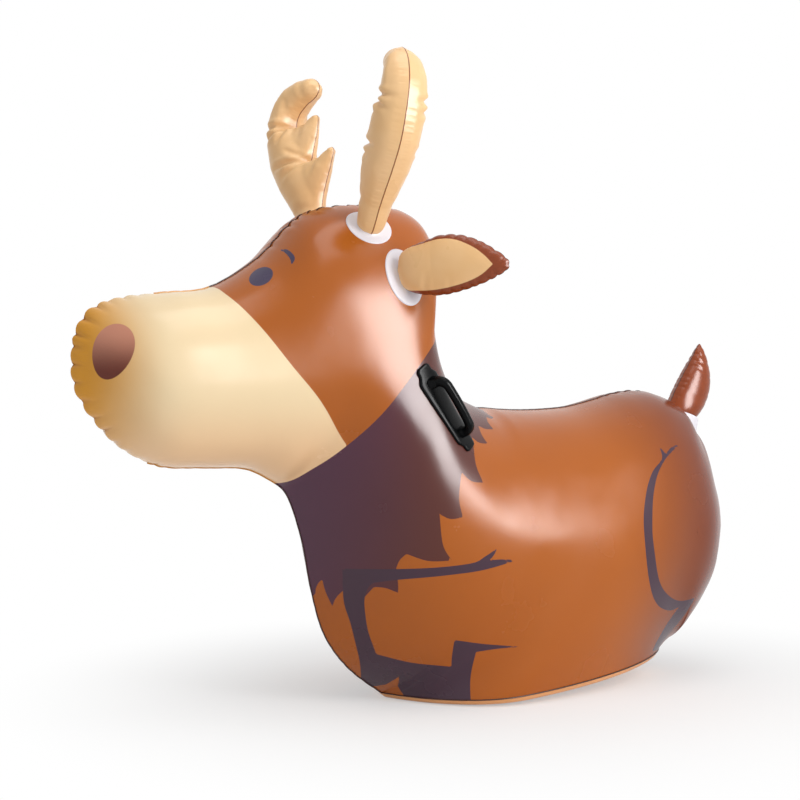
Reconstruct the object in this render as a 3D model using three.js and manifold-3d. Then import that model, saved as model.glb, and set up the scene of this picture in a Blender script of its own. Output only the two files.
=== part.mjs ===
import * as THREE from 'three';
import { mergeVertices } from 'three/addons/utils/BufferGeometryUtils.js';
import initManifold from 'manifold-3d';

const kernel = await initManifold();
kernel.setup();
const { Manifold, Mesh: SolidMesh } = kernel;

// Inflatable reindeer hopper. Millimetres, +Z up, nose towards -Y, the animal's left towards +X.
// The origin is the middle of the base, on the floor.

// Film and welds
const filmThickness = 0.6;
const seamGap = 0.3; // between the two edges that a weld joins
const seatGap = 0.4; // between the skin and a patch welded on it
const flexClearance = 0.5; // round the root of a piece that bends in its collar

// Base panel
const baseFrontY = -271;
const baseRearY = 255;
const baseWidestY = -105;
const baseHalfWidth = 158;
const baseSeamHeight = 7.5;
const baseFrontLift = 1; // how far the seam rises to the front tip
const baseRearLift = 36;
const baseLiftStartFront = -150;
const baseLiftStartRear = -235;

// Antlers
const antlerSeat = [69.5, -329, 686.5];
const antlerLean = 26; // degrees from upright, outwards
const antlerTurn = 14; // degrees that the antler is turned about its length, tines to the back
const antlerRootRadius = 22;
const antlerRootRise = 13; // pivot above the skin
const antlerBeamLength = 199;
const antlerTipReach = 74; // of the curled tip, inwards
const antlerThickness = 66;
const antlerCollarRadius = 34;

// Ears
const earSeat = [115.8, -299, 619.6];
const earDirection = [0.8, 0.58, 0.09];
const earRootRadius = 16;
const earRootHalfWidth = 30;
const earRootRise = 15.5;
const earLength = 164;
const earWidth = 84;
const earThickness = 38;
const earCollarHalfHeight = 43;
const earCollarHalfWidth = 29;

// Tail
const tailSeatY = 322;
const tailRootRadius = 22;
const tailRootHalfWidth = 27;
const tailRootRise = 14;
const tailLength = 134;
const tailCollarHalfLength = 38;
const tailCollarHalfWidth = 33;

const collarThickness = 0.8;
const patchStep = 9; // least spacing of a patch's points
const airPortRadius = 5;

// Handles
const handleCentre = [154.6, -249.3, 432.1];
const handleDirection = [11, 86, -123]; // along the plate, downwards and back
const plateLength = 140;
const plateWidth = 40;
const plateThickness = 3;
const plateTabLength = 16;
const plateTabWidth = 26;
const gripSpan = 84; // between the middles of the two feet
const gripHeight = 22; // middle of the bar above the plate's face
const gripBarWidth = 11;
const gripBarThickness = 12;
const gripFootWidth = 19;
const gripFootThickness = 16;
const gripBend = 13; // radius of its corners

// Valve, on the right flank behind
const valveAim = [-70, 190, 190];
const valveFrom = [-400, 430, 120];
const valveFlangeRadius = 27;
const valveFlangeThickness = 0.9;
const valveNeckOuter = 16;
const valveNeckWall = 2.4;
const valveNeckTop = 8; // above the skin
const valveNeckBottom = 9; // below the skin
const valveLedge = 1.6; // width and height of the step that the insert rests on
const valveInsertThickness = 2.2;
const valveHubRadius = 4.5;
const valveSpokeWidth = 2.6;
const valveStemRadius = 1.5;
const valveFlapThickness = 0.8;
const valveGasketThickness = 1;
const valveCapThickness = 2.4;
const valvePlugDepth = 3;
const valvePlugWall = 1.6;
const valvePinRadius = 1.2;
const valveLugRadius = 2.8;
const valveLugWidth = 8;
const valveEarWidth = 3;
const valveTabLength = 7;
const valveFit = 0.35; // clearance of every fit in the valve

// Body outline. Each row is one rib: [top y, top z, ridge y, ridge z, half thickness, lower y, lower z].
// A null lower z means that the rib ends on the base seam.
const ribs = [
  [-741, 484, -632, 465, 100, -741, 484],
  [-736, 530, -632, 465, 100, -734, 452],
  [-714, 564, -632, 465, 100, -712, 416],
  [-668, 582, -632, 465, 100, -677, 378],
  [-613, 588, -622, 465, 101, -622, 349],
  [-545, 598, -560, 467, 107, -553, 342],
  [-470, 642, -495, 474, 115, -490, 342],
  [-405, 704, -435, 487, 125, -446, 327],
  [-330, 725, -388, 490, 135, -426, 312],
  [-240, 723, -348, 470, 144, -414, 290],
  [-205, 688, -318, 436, 150, -404, 262],
  [-224, 612, -292, 396, 156, -394, 227],
  [-218, 535, -264, 347, 166, -383, 172],
  [-182, 469, -224, 290, 173, -361, 104],
  [-112, 434, -172, 248, 178, -321, 51],
  [-72, 429, -143, 238, 180, baseFrontY, null],
  [-45, 427, -125, 232, 181, -259, null],
  [-10, 426, -104, 228, 182, -231, null],
  [35, 427, -66, 224, 183, -180, null],
  [85, 431, -14, 221, 184, -110, null],
  [135, 439, 42, 221, 184, -20, null],
  [185, 447, 104, 223, 181, 70, null],
  [235, 450, 162, 227, 173, 150, null],
  [278, 441, 200, 231, 165, 210, null],
  [303, 430, 213, 233, 162, 243, null],
  [320, 417, 217, 235, 161, baseRearY, null],
  [335, 400, 218, 237, 160.5, 270, 60],
  [353, 352, 218, 238, 160.5, 308, 96],
  [363, 302, 218, 238, 160.5, 341, 150],
  [365, 238, 218, 238, 160.5, 365, 238],
];
const ribSteps = (i) => (i >= 15 && i < 25 ? 1 : 2); // rows between one rib and the next
const ribColumns = 5;
const wallStraightness = 0.75; // of the wall just above the base seam
const muzzleFlatness = 0.85; // how far the films at the muzzle's end meet as a lens and not as a round
const chestFlatness = 0.8; // the same down the chest
const columnSpread = 1.6; // crowds the columns towards the seams, where the film turns fastest

const X = new THREE.Vector3(1, 0, 0);
const Z = new THREE.Vector3(0, 0, 1);
const vec = (x, y, z) => new THREE.Vector3(x, y, z);
const smooth = (a, b, x) => THREE.MathUtils.smoothstep(x, a, b);

function seamHeightAt(y) {
  const front = (baseLiftStartFront - y) / (baseLiftStartFront - baseFrontY);
  const rear = (y - baseLiftStartRear) / (baseRearY - baseLiftStartRear);
  return baseSeamHeight + baseFrontLift * Math.max(0, front) ** 1.5 + baseRearLift * Math.max(0, rear) ** 1.2;
}

function baseHalfWidthAt(y) {
  const u = y < baseWidestY ? (baseWidestY - y) / (baseWidestY - baseFrontY) : (y - baseWidestY) / (baseRearY - baseWidestY);
  return baseHalfWidth * Math.sqrt(Math.max(0, 1 - Math.min(1, u) ** (y < baseWidestY ? 2.3 : 2)));
}

function spline(values, i, f) {
  const at = (k) => values[Math.min(values.length - 1, Math.max(0, k))];
  const [a, b, c, d] = [at(i - 1), at(i), at(i + 1), at(i + 2)];
  return 0.5 * (2 * b + (c - a) * f + (2 * a - 5 * b + 4 * c - d) * f * f + (3 * b - a - 3 * c + d) * f ** 3);
}

// As spline, but level between equal values
function steadySpline(values, i, f) {
  const at = (k) => values[Math.min(values.length - 1, Math.max(0, k))];
  const slope = (k) => {
    const [l, r] = [at(k) - at(k - 1), at(k + 1) - at(k)];
    return l * r <= 0 ? 0 : (2 * l * r) / (l + r);
  };
  const [p, q, m, n] = [at(i), at(i + 1), slope(i), slope(i + 1)];
  const [f2, f3] = [f * f, f ** 3];
  return (2 * f3 - 3 * f2 + 1) * p + (f3 - 2 * f2 + f) * m + (3 * f2 - 2 * f3) * q + (f3 - f2) * n;
}

// Rows of the side panel: seam points above and below, and the ridge between them
function bodyRows() {
  const columns = [0, 1, 2, 3, 4, 5, 6].map((k) => ribs.map((r) => (k === 6 && r[6] === null ? seamHeightAt(r[5]) : r[k])));
  const rows = [];
  for (let i = 0; i < ribs.length - 1; i++) {
    const steps = ribSteps(i);
    for (let s = 0; s < steps + (i === ribs.length - 2 ? 1 : 0); s++) {
      const f = s / steps;
      const [uy, uz] = [0, 1].map((k) => spline(columns[k], i, f));
      const [ky, kz, half] = [2, 3, 4].map((k) => steadySpline(columns[k], i, f));
      let [ly, lz] = [5, 6].map((k) => spline(columns[k], i, f));
      const onBase = ribs[i][6] === null && (f === 0 || ribs[i + 1][6] === null);
      if (onBase) lz = seamHeightAt(ly);
      const reach = onBase ? Math.max(seamGap / 2, baseHalfWidthAt(ly)) : seamGap / 2;
      const lens = muzzleFlatness * (1 - smooth(1.5, 4.5, i + f));
      const keel = Math.max(lens, chestFlatness * smooth(6.5, 8.5, i + f) * (1 - smooth(15, 18, i + f)));
      rows.push({ uy, uz, ky, kz, half, ly, lz, reach, onBase, lens, keel });
    }
  }
  return rows;
}
const rows = bodyRows();
const baseRows = rows.filter((r) => r.onBase);

function ribPoint(seamY, seamZ, reach, row, angle, flatness) {
  const straight = Math.max((wallStraightness * reach) / baseHalfWidth, flatness);
  const along = (1 - Math.cos(angle)) * (1 - straight) + (straight * angle * 2) / Math.PI;
  return vec(
    reach + (row.half - reach) * Math.sin(angle),
    seamY + (row.ky - seamY) * along,
    seamZ + (row.kz - seamZ) * along,
  );
}

// A closed shell from an outer surface: points, triangles, and the inward direction at each rim point
function shell(points, triangles, rim, rimInward, thickness) {
  const keys = new Map();
  const ids = points.map((p) => {
    const key = [p.x, p.y, p.z].map((c) => Math.round(c * 200)).join();
    if (!keys.has(key)) keys.set(key, keys.size);
    return keys.get(key);
  });
  const outer = [];
  points.forEach((p, i) => (outer[ids[i]] = p));
  const faces = triangles.map((t) => t.map((i) => ids[i])).filter(([a, b, c]) => a !== b && b !== c && c !== a);
  const normals = outer.map(() => vec(0, 0, 0));
  for (const [a, b, c] of faces) {
    const n = outer[b].clone().sub(outer[a]).cross(outer[c].clone().sub(outer[a]));
    [a, b, c].forEach((k) => normals[k].add(n));
  }
  const inner = outer.map((p, i) => p.clone().addScaledVector(normals[i].normalize(), -thickness));
  const loop = [];
  rim.forEach((i, k) => {
    if (loop.includes(ids[i])) return;
    loop.push(ids[i]);
    inner[ids[i]] = outer[ids[i]].clone().addScaledVector(rimInward[k], thickness);
  });
  const n = outer.length;
  const index = faces.flatMap(([a, b, c]) => [a, b, c, n + a, n + c, n + b]);
  const edges = new Set(faces.flatMap(([a, b, c]) => [`${a},${b}`, `${b},${c}`, `${c},${a}`]));
  loop.forEach((a, k) => {
    let b = loop[(k + 1) % loop.length];
    if (!edges.has(`${a},${b}`)) [a, b] = [b, a];
    index.push(b, a, n + a, b, n + a, n + b);
  });
  return { geometry: indexed([...outer, ...inner], index), surface: indexed(outer, faces.flat()) };
}

function indexed(points, index) {
  const g = new THREE.BufferGeometry();
  g.setAttribute('position', new THREE.Float32BufferAttribute(points.flatMap((p) => [p.x, p.y, p.z]), 3));
  g.setIndex(index);
  return g;
}

function sidePanel() {
  const points = [];
  const width = 2 * ribColumns + 1;
  for (const row of rows) {
    for (let j = 0; j < width; j++) {
      const share = (ribColumns - Math.abs(ribColumns - j)) / ribColumns;
      const angle = share === 1 ? Math.PI / 2 : Math.atan(Math.tan((share * Math.PI) / 2) / columnSpread);
      points.push(
        j <= ribColumns
          ? ribPoint(row.uy, row.uz, seamGap / 2, row, angle, row.lens)
          : ribPoint(row.ly, row.lz, row.reach, row, angle, row.keel),
      );
    }
  }
  const triangles = [];
  for (let i = 0; i < rows.length - 1; i++) {
    for (let j = 0; j < width - 1; j++) {
      const [a, b, c, d] = [i * width + j, i * width + j + 1, (i + 1) * width + j + 1, (i + 1) * width + j];
      triangles.push([a, b, c], [a, c, d]);
    }
  }
  const rim = [];
  const inward = [];
  const add = (i, j, y, z, row, reach) => {
    rim.push(i * width + j);
    const flat = vec(0, row.ky - y, row.kz - z).normalize();
    const level = vec(-1, (baseWidestY - y) / (3 * baseHalfWidth), 0).normalize();
    inward.push(flat.lerp(level, smooth(1, 60, reach)).normalize());
  };
  rows.forEach((row, i) => add(i, 0, row.uy, row.uz, row, 0));
  [...rows].reverse().forEach((row, i) => add(rows.length - 1 - i, width - 1, row.ly, row.lz, row, row.reach));
  return shell(points, triangles, rim, inward, filmThickness);
}

// Bottom panel: a shallow dish with a flat middle, its rim just under the side panels' edges
function basePanel() {
  const rings = [[0, 1], [0.02, 0.78], [0.07, 0.56], [0.16, 0.32], [0.3, 0.09], [0.45, 0]];
  const loop = [...baseRows.map((r) => [1, r]), ...[...baseRows].reverse().slice(1, -1).map((r) => [-1, r])];
  const points = [];
  for (const [inset, lift] of rings) {
    for (const [side, r] of loop) {
      const half = r === baseRows[0] || r === baseRows[baseRows.length - 1] ? 0 : r.reach;
      points.push(vec(side * half * (1 - inset), r.ly + (baseWidestY / 3 - r.ly) * inset, (r.lz - seamGap) * lift));
    }
  }
  const n = loop.length;
  const triangles = [];
  for (let k = 0; k < rings.length - 1; k++) {
    for (let i = 0; i < n; i++) {
      const [a, b] = [k * n + i, k * n + ((i + 1) % n)];
      triangles.push([a, a + n, b + n], [a, b + n, b]);
    }
  }
  const first = (rings.length - 1) * n;
  const across = (i) => first + ((n - i) % n); // the mirrored point of the innermost ring
  for (let i = 0; i < baseRows.length - 1; i++) {
    const [a, b, c, d] = [first + i, first + i + 1, across(i + 1), across(i)];
    triangles.push([a, c, b], [a, d, c]);
  }
  const rim = loop.map((_, i) => i);
  const inward = loop.map(([side, r]) => vec(-side * r.reach, (baseWidestY - r.ly) / 3, 0).normalize());
  const flipped = triangles.map(([a, b, c]) => [a, b, c]);
  return shell(points, flipped, rim, inward, filmThickness);
}

function toSolid(geometry) {
  const g = mergeVertices(geometry, 1e-4);
  return new Manifold(
    new SolidMesh({
      numProp: 3,
      vertProperties: new Float32Array(g.attributes.position.array),
      triVerts: new Uint32Array(g.index.array),
    }),
  );
}

function toGeometry(solid) {
  const m = solid.getMesh();
  const g = new THREE.BufferGeometry();
  const p = new Float32Array(m.numVert * 3);
  for (let i = 0; i < m.numVert; i++) for (let k = 0; k < 3; k++) p[3 * i + k] = m.vertProperties[i * m.numProp + k];
  g.setAttribute('position', new THREE.Float32BufferAttribute(p, 3));
  g.setIndex([...m.triVerts]);
  return g;
}

function mirrored(geometry) {
  const g = geometry.clone().scale(-1, 1, 1);
  const index = [...g.index.array];
  for (let i = 0; i < index.length; i += 3) [index[i + 1], index[i + 2]] = [index[i + 2], index[i + 1]];
  return g.setIndex(index);
}

const leftShell = sidePanel();
const rightGeometry = mirrored(leftShell.geometry);
const skin = [leftShell.surface, mirrored(leftShell.surface)].map(
  (g) => new THREE.Mesh(g, new THREE.MeshStandardMaterial({ side: THREE.DoubleSide })),
);
const caster = new THREE.Raycaster();

function skinHit(from, direction, target = skin) {
  caster.set(from, direction.clone().normalize());
  let hit = caster.intersectObjects(target)[0];
  if (!hit) {
    caster.set(from.clone().addScaledVector(X, 2 * seamGap), direction.clone().normalize()); // past the seam
    hit = caster.intersectObjects(target)[0];
  }
  const normal = hit.face.normal.clone();
  if (normal.dot(direction) > 0) normal.negate();
  return { point: hit.point, normal };
}

// The skin's faces about a place, for many casts there
function skinNear(place, radius) {
  const near = [];
  for (const { geometry } of skin) {
    const p = geometry.attributes.position;
    const at = [0, 1, 2].map(() => vec(0, 0, 0));
    for (let i = 0; i < geometry.index.count; i += 3) {
      at.forEach((v, k) => v.fromBufferAttribute(p, geometry.index.getX(i + k)));
      if (at.some((v) => v.distanceTo(place) < radius)) near.push(...at.map((v) => v.clone()));
    }
  }
  return [new THREE.Mesh(indexed(near, near.map((_, i) => i)), skin[0].material)];
}

function frameOf(origin, across, up) {
  const e2 = up.clone().normalize();
  const e1 = across.clone().addScaledVector(e2, -across.dot(e2)).normalize();
  return { origin, e1, e2, e3: e1.clone().cross(e2) };
}
const inFrame = (f, a, b, c) =>
  f.origin.clone().addScaledVector(f.e1, a).addScaledVector(f.e2, b).addScaledVector(f.e3, c);

// The skin's height under a point of a patch, raised so that straight edges to points a step away clear the skin
function drape(seat, a, c, stepA, stepC) {
  const here = heightOn(seat, a, c);
  let lift = 0;
  for (const [i, j] of [[1, 0], [-1, 0], [0, 1], [0, -1], [1, 1], [-1, -1], [1, -1], [-1, 1]]) {
    const there = heightOn(seat, a + i * stepA, c + j * stepC);
    for (const f of [0.3, 0.5, 0.7]) {
      const between = heightOn(seat, a + f * i * stepA, c + f * j * stepC);
      lift = Math.max(lift, between - here - f * (there - here));
    }
  }
  return inFrame(seat, a, here + lift, c);
}

function heightOn(seat, a, c) {
  seat.near ??= skinNear(seat.origin, 130);
  const { point } = skinHit(inFrame(seat, a, 60, c), seat.e2.clone().negate(), seat.near);
  return point.sub(seat.origin).dot(seat.e2);
}

// The way out of the skin at a hit, evened over the faces about it
function wayOut(hit, span) {
  const f = frameOf(hit.point, Z, hit.normal);
  const rise = (a, c) => (heightOn(f, a, c) - heightOn(f, -a, -c)) / (2 * span);
  return f.e2.clone().addScaledVector(f.e1, -rise(span, 0)).addScaledVector(f.e3, -rise(0, span)).normalize();
}

// Closed loft of ellipses: stations hold a centre and its two half-axes as vectors; the ends close on points
function loft(stations, start, end, sides) {
  const points = [start];
  for (const { centre, wide, thick } of stations) {
    for (let i = 0; i < sides; i++) {
      const t = (i / sides) * 2 * Math.PI;
      points.push(centre.clone().addScaledVector(wide, Math.cos(t)).addScaledVector(thick, Math.sin(t)));
    }
  }
  points.push(end);
  const at = (k, i) => 1 + k * sides + (i % sides);
  const index = [];
  for (let i = 0; i < sides; i++) {
    index.push(0, at(0, i + 1), at(0, i));
    for (let k = 0; k < stations.length - 1; k++) {
      index.push(at(k, i), at(k, i + 1), at(k + 1, i + 1), at(k, i), at(k + 1, i + 1), at(k + 1, i));
    }
    index.push(points.length - 1, at(stations.length - 1, i), at(stations.length - 1, i + 1));
  }
  return outwards(points, index);
}

// A bag in the frame's e1-e2 plane: centre line rows [a, b, half width, half thickness], with a round root below the origin
function bag(frame, line, tip, root, trim, sides) {
  const stations = [];
  const radius = root.radius - trim;
  const half = root.halfWidth - trim;
  for (const turn of [-70, -48, -26]) {
    const [s, c] = [Math.sin((turn * Math.PI) / 180), Math.cos((turn * Math.PI) / 180)];
    stations.push({
      centre: inFrame(frame, 0, radius * s, 0),
      wide: frame.e1.clone().multiplyScalar(half * c),
      thick: frame.e3.clone().multiplyScalar(radius * c),
    });
  }
  const rowsIn = [[0, 0, root.halfWidth, root.radius], ...line];
  rowsIn.forEach(([a, b, width, depth], i) => {
    const before = i ? rowsIn[i - 1] : [0, -1];
    const after = i < rowsIn.length - 1 ? rowsIn[i + 1] : tip;
    const way = new THREE.Vector2(after[0] - before[0], after[1] - before[1]).normalize();
    if (i === 0) way.set(0, 1);
    const side = frame.e1.clone().multiplyScalar(way.y).addScaledVector(frame.e2, -way.x);
    stations.push({
      centre: inFrame(frame, a, b, 0),
      wide: side.multiplyScalar(width - trim),
      thick: frame.e3.clone().multiplyScalar(depth - trim),
    });
  });
  const last = line[line.length - 1];
  const back = new THREE.Vector2(tip[0] - last[0], tip[1] - last[1]).normalize();
  const end = inFrame(frame, tip[0] - back.x * trim, tip[1] - back.y * trim, 0);
  return loft(stations, inFrame(frame, 0, -radius, 0), end, sides);
}

function spheroid(frame, root, extra) {
  const steps = 10;
  const [half, radius] = [root.halfWidth + extra, root.radius + extra];
  const stations = [];
  for (let k = 1; k < steps; k++) {
    const t = (k / steps) * Math.PI;
    stations.push({
      centre: inFrame(frame, 0, -radius * Math.cos(t), 0),
      wide: frame.e1.clone().multiplyScalar(half * Math.sin(t)),
      thick: frame.e3.clone().multiplyScalar(radius * Math.sin(t)),
    });
  }
  return loft(stations, inFrame(frame, 0, -radius, 0), inFrame(frame, 0, radius, 0), 28);
}

// One hollow bag cut on its seam plane into a front and a back film panel
function filmPanels(frame, build, root) {
  const port = loft(
    [-1, 1].map((k) => ({
      centre: inFrame(frame, 0, -root.radius + 4 * k, 0),
      wide: frame.e1.clone().multiplyScalar(airPortRadius),
      thick: frame.e3.clone().multiplyScalar(airPortRadius),
    })),
    inFrame(frame, 0, -root.radius - 4.5, 0),
    inFrame(frame, 0, -root.radius + 4.5, 0),
    12,
  );
  const hollow = build(0).subtract(build(filmThickness)).subtract(port);
  const n = frame.e3;
  const level = n.dot(frame.origin);
  return [
    hollow.trimByPlane([n.x, n.y, n.z], level + seamGap / 2),
    hollow.trimByPlane([-n.x, -n.y, -n.z], -level + seamGap / 2),
  ];
}

// A welded patch that follows the skin: offsets [a, c] across the frame, dropped along -e2
function patch(frame, outline, spokes, rings, lift, thickness) {
  const lower = [];
  const upper = [];
  for (let k = 0; k <= rings; k++) {
    for (let i = 0; i < spokes; i++) {
      const [a, c] = outline(k / rings, (i + 0.5) / spokes);
      const point = drape(frame, a, c, patchStep, patchStep);
      lower.push(point.clone().addScaledVector(frame.e2, lift));
      upper.push(point.clone().addScaledVector(frame.e2, lift + thickness));
    }
  }
  const n = lower.length;
  const index = [];
  for (let k = 0; k < rings; k++) {
    for (let i = 0; i < spokes; i++) {
      const [a, b] = [k * spokes + i, k * spokes + ((i + 1) % spokes)];
      const [c, e] = [b + spokes, a + spokes];
      index.push(a, b, c, a, c, e, n + a, n + c, n + b, n + a, n + e, n + c);
    }
  }
  for (let i = 0; i < spokes; i++) {
    const [a, b] = [i, (i + 1) % spokes];
    const [c, e] = [a + rings * spokes, b + rings * spokes];
    index.push(a, n + a, b, b, n + a, n + b, c, e, n + c, e, n + e, n + c);
  }
  return outwards([...lower, ...upper], index);
}

// The solid of these faces, turned so that they point out
function outwards(points, index) {
  const solid = toSolid(indexed(points, index));
  if (solid.volume() > 0) return solid;
  for (let i = 0; i < index.length; i += 3) [index[i + 1], index[i + 2]] = [index[i + 2], index[i + 1]];
  return toSolid(indexed(points, index));
}

// Outline of a collar: its inner edge keeps the clearance from the round root that stands in it
function collarOutline(seat, frame, root, halfA, halfC) {
  const clear = (a, c) => {
    const height = heightOn(seat, a, c);
    return [seatGap, seatGap + collarThickness].every((lift) => {
      const q = inFrame(seat, a, height + lift, c).sub(frame.origin);
      const [u, v, w] = [q.dot(frame.e1), q.dot(frame.e2), q.dot(frame.e3)];
      return (u / (root.halfWidth + flexClearance)) ** 2 + (v * v + w * w) / (root.radius + flexClearance) ** 2 > 1;
    });
  };
  const found = new Map();
  return (k, t) => {
    const [x, y] = [halfA * Math.cos(2 * Math.PI * t), halfC * Math.sin(2 * Math.PI * t)];
    if (!found.has(t)) {
      let [low, high] = [0.05, 1];
      for (let i = 0; i < 12; i++) {
        const middle = (low + high) / 2;
        if (clear(x * middle, y * middle)) high = middle;
        else low = middle;
      }
      found.set(t, high);
    }
    const r = found.get(t) + (1 - found.get(t)) * k;
    return [x * r, y * r];
  };
}

const ringOutline = (halfA, halfC, inner) => (k, t) => {
  const r = inner + (1 - inner) * k;
  return [halfA * r * Math.cos(2 * Math.PI * t), halfC * r * Math.sin(2 * Math.PI * t)];
};

// Antler, left; e1 is its bending axis, e2 runs up the beam
const turn = (antlerTurn * Math.PI) / 180;
const lean = (antlerLean * Math.PI) / 180;
const antlerOut = vec(Math.cos(turn), -Math.sin(turn), 0);
const antlerUp = vec(Math.sin(lean), 0, Math.cos(lean));
const antlerAim = vec(...antlerSeat);
const antlerHit = skinHit(antlerAim.clone().add(vec(74, -7, 66)), vec(-74, 7, -66));
const antlerNormal = wayOut(antlerHit, antlerRootRadius);
const antlerFrame = frameOf(antlerHit.point.clone().addScaledVector(antlerNormal, antlerRootRise), antlerOut, antlerUp);
const antlerRoot = { radius: antlerRootRadius, halfWidth: antlerRootRadius };
const d = antlerThickness / 2;
const L = antlerBeamLength - antlerRootRise;
const antlerLine = [
  [1, 0.12 * L, 26, 0.77 * d],
  [4, 0.27 * L, 31, 0.9 * d],
  [8, 0.46 * L, 34, d],
  [10, 0.66 * L, 34, d],
  [8, 0.85 * L, 30, d],
  [3, L, 26, 0.96 * d],
  [-0.11 * antlerTipReach, L + 20, 24, 0.92 * d],
  [-0.35 * antlerTipReach, L + 29, 23, 0.84 * d],
  [-0.61 * antlerTipReach, L + 31, 20, 0.7 * d],
  [-0.81 * antlerTipReach, L + 26, 13, 0.46 * d],
];
const antlerTip = [-antlerTipReach, L + 19];
const tines = [
  { from: [-8, 0.42 * L], to: [-71, 0.53 * L], width: 24 },
  { from: [-6, 0.79 * L], to: [-58, 0.88 * L], width: 22 },
];
function tine({ from, to, width }, trim) {
  const way = new THREE.Vector2(to[0] - from[0], to[1] - from[1]);
  const length = way.length();
  way.normalize();
  const side = antlerFrame.e1.clone().multiplyScalar(way.y).addScaledVector(antlerFrame.e2, -way.x);
  const place = (s) => inFrame(antlerFrame, from[0] + way.x * s, from[1] + way.y * s, 0);
  const stations = [[0, 1], [0.4, 0.92], [0.7, 0.66], [0.9, 0.36]].map(([s, w]) => ({
    centre: place(s * length),
    wide: side.clone().multiplyScalar(width * w - trim),
    thick: antlerFrame.e3.clone().multiplyScalar(width * 0.95 * w - trim),
  }));
  return loft(stations, place(-4 + trim), place(length - trim), 10);
}
const antlerBag = (trim) =>
  Manifold.union([
    bag(antlerFrame, antlerLine, antlerTip, antlerRoot, trim, 12),
    ...tines.map((t) => tine(t, trim)),
  ]);
const antlerPanels = filmPanels(antlerFrame, antlerBag, antlerRoot);
const antlerSeatFrame = frameOf(antlerFrame.origin, antlerOut, antlerNormal);

// Ear, left; e1 is upright and is its bending axis
const earAim = vec(...earSeat);
const earHit = skinHit(earAim.clone().add(vec(92, 0, 39)), vec(-92, 0, -39));
const earUp = vec(...earDirection);
const earNormal = wayOut(earHit, earRootRadius);
const earFrame = frameOf(earHit.point.clone().addScaledVector(earNormal, earRootRise), Z, earUp);
const earRoot = { radius: earRootRadius, halfWidth: earRootHalfWidth };
const earReach = earLength - earRootRise;
const earLine = [
  [0, 0.16 * earReach, 0.85 * (earWidth / 2), 0.46 * earThickness],
  [0, 0.34 * earReach, earWidth / 2, earThickness / 2],
  [0, 0.54 * earReach, 0.93 * (earWidth / 2), 0.46 * earThickness],
  [-3, 0.74 * earReach, 0.69 * (earWidth / 2), 0.36 * earThickness],
  [-7, 0.9 * earReach, 0.37 * (earWidth / 2), 0.2 * earThickness],
];
const earTip = [-8, earReach];
const earPanels = filmPanels(earFrame, (trim) => bag(earFrame, earLine, earTip, earRoot, trim, 12), earRoot);
const earSeatFrame = frameOf(earFrame.origin, earFrame.e1, earNormal);

// Tail, on the seam of the two side panels; e1 runs fore and aft
const tailFrom = vec(1, tailSeatY + 90, 520);
const tailHit = skinHit(tailFrom, vec(0, -90, -110));
const tailNormal = vec(0, tailHit.normal.y, tailHit.normal.z).normalize();
const tailPivot = vec(0, tailHit.point.y, tailHit.point.z).addScaledVector(tailNormal, tailRootRise);
const tailFrame = frameOf(tailPivot, vec(0, 1, 0), vec(0, 0.3, 0.95));
const tailRoot = { radius: tailRootRadius, halfWidth: tailRootHalfWidth };
const tailReach = tailLength - tailRootRise;
const tailLine = [
  [3, 0.2 * tailReach, 29, 23],
  [6, 0.42 * tailReach, 27, 21],
  [8, 0.63 * tailReach, 21, 17],
  [8, 0.82 * tailReach, 12.5, 11],
];
const tailTip = [5, tailReach];
const tailPanels = filmPanels(tailFrame, (trim) => bag(tailFrame, tailLine, tailTip, tailRoot, trim, 12), tailRoot);
const tailSeatFrame = frameOf(tailPivot, vec(0, 1, 0), tailNormal);

const skinHoles = {
  antler: spheroid(antlerFrame, antlerRoot, flexClearance + seatGap),
  ear: spheroid(earFrame, earRoot, flexClearance + seatGap),
  tail: spheroid(tailFrame, tailRoot, flexClearance + seatGap),
};
const collar = (seat, frame, root, halfA, halfC) =>
  patch(seat, collarOutline(seat, frame, root, halfA, halfC), 28, 2, seatGap, collarThickness);
const antlerCollar = collar(antlerSeatFrame, antlerFrame, antlerRoot, antlerCollarRadius, antlerCollarRadius);
const earCollar = collar(earSeatFrame, earFrame, earRoot, earCollarHalfHeight, earCollarHalfWidth);
const tailCollar = collar(tailSeatFrame, tailFrame, tailRoot, tailCollarHalfLength, tailCollarHalfWidth);

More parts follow.
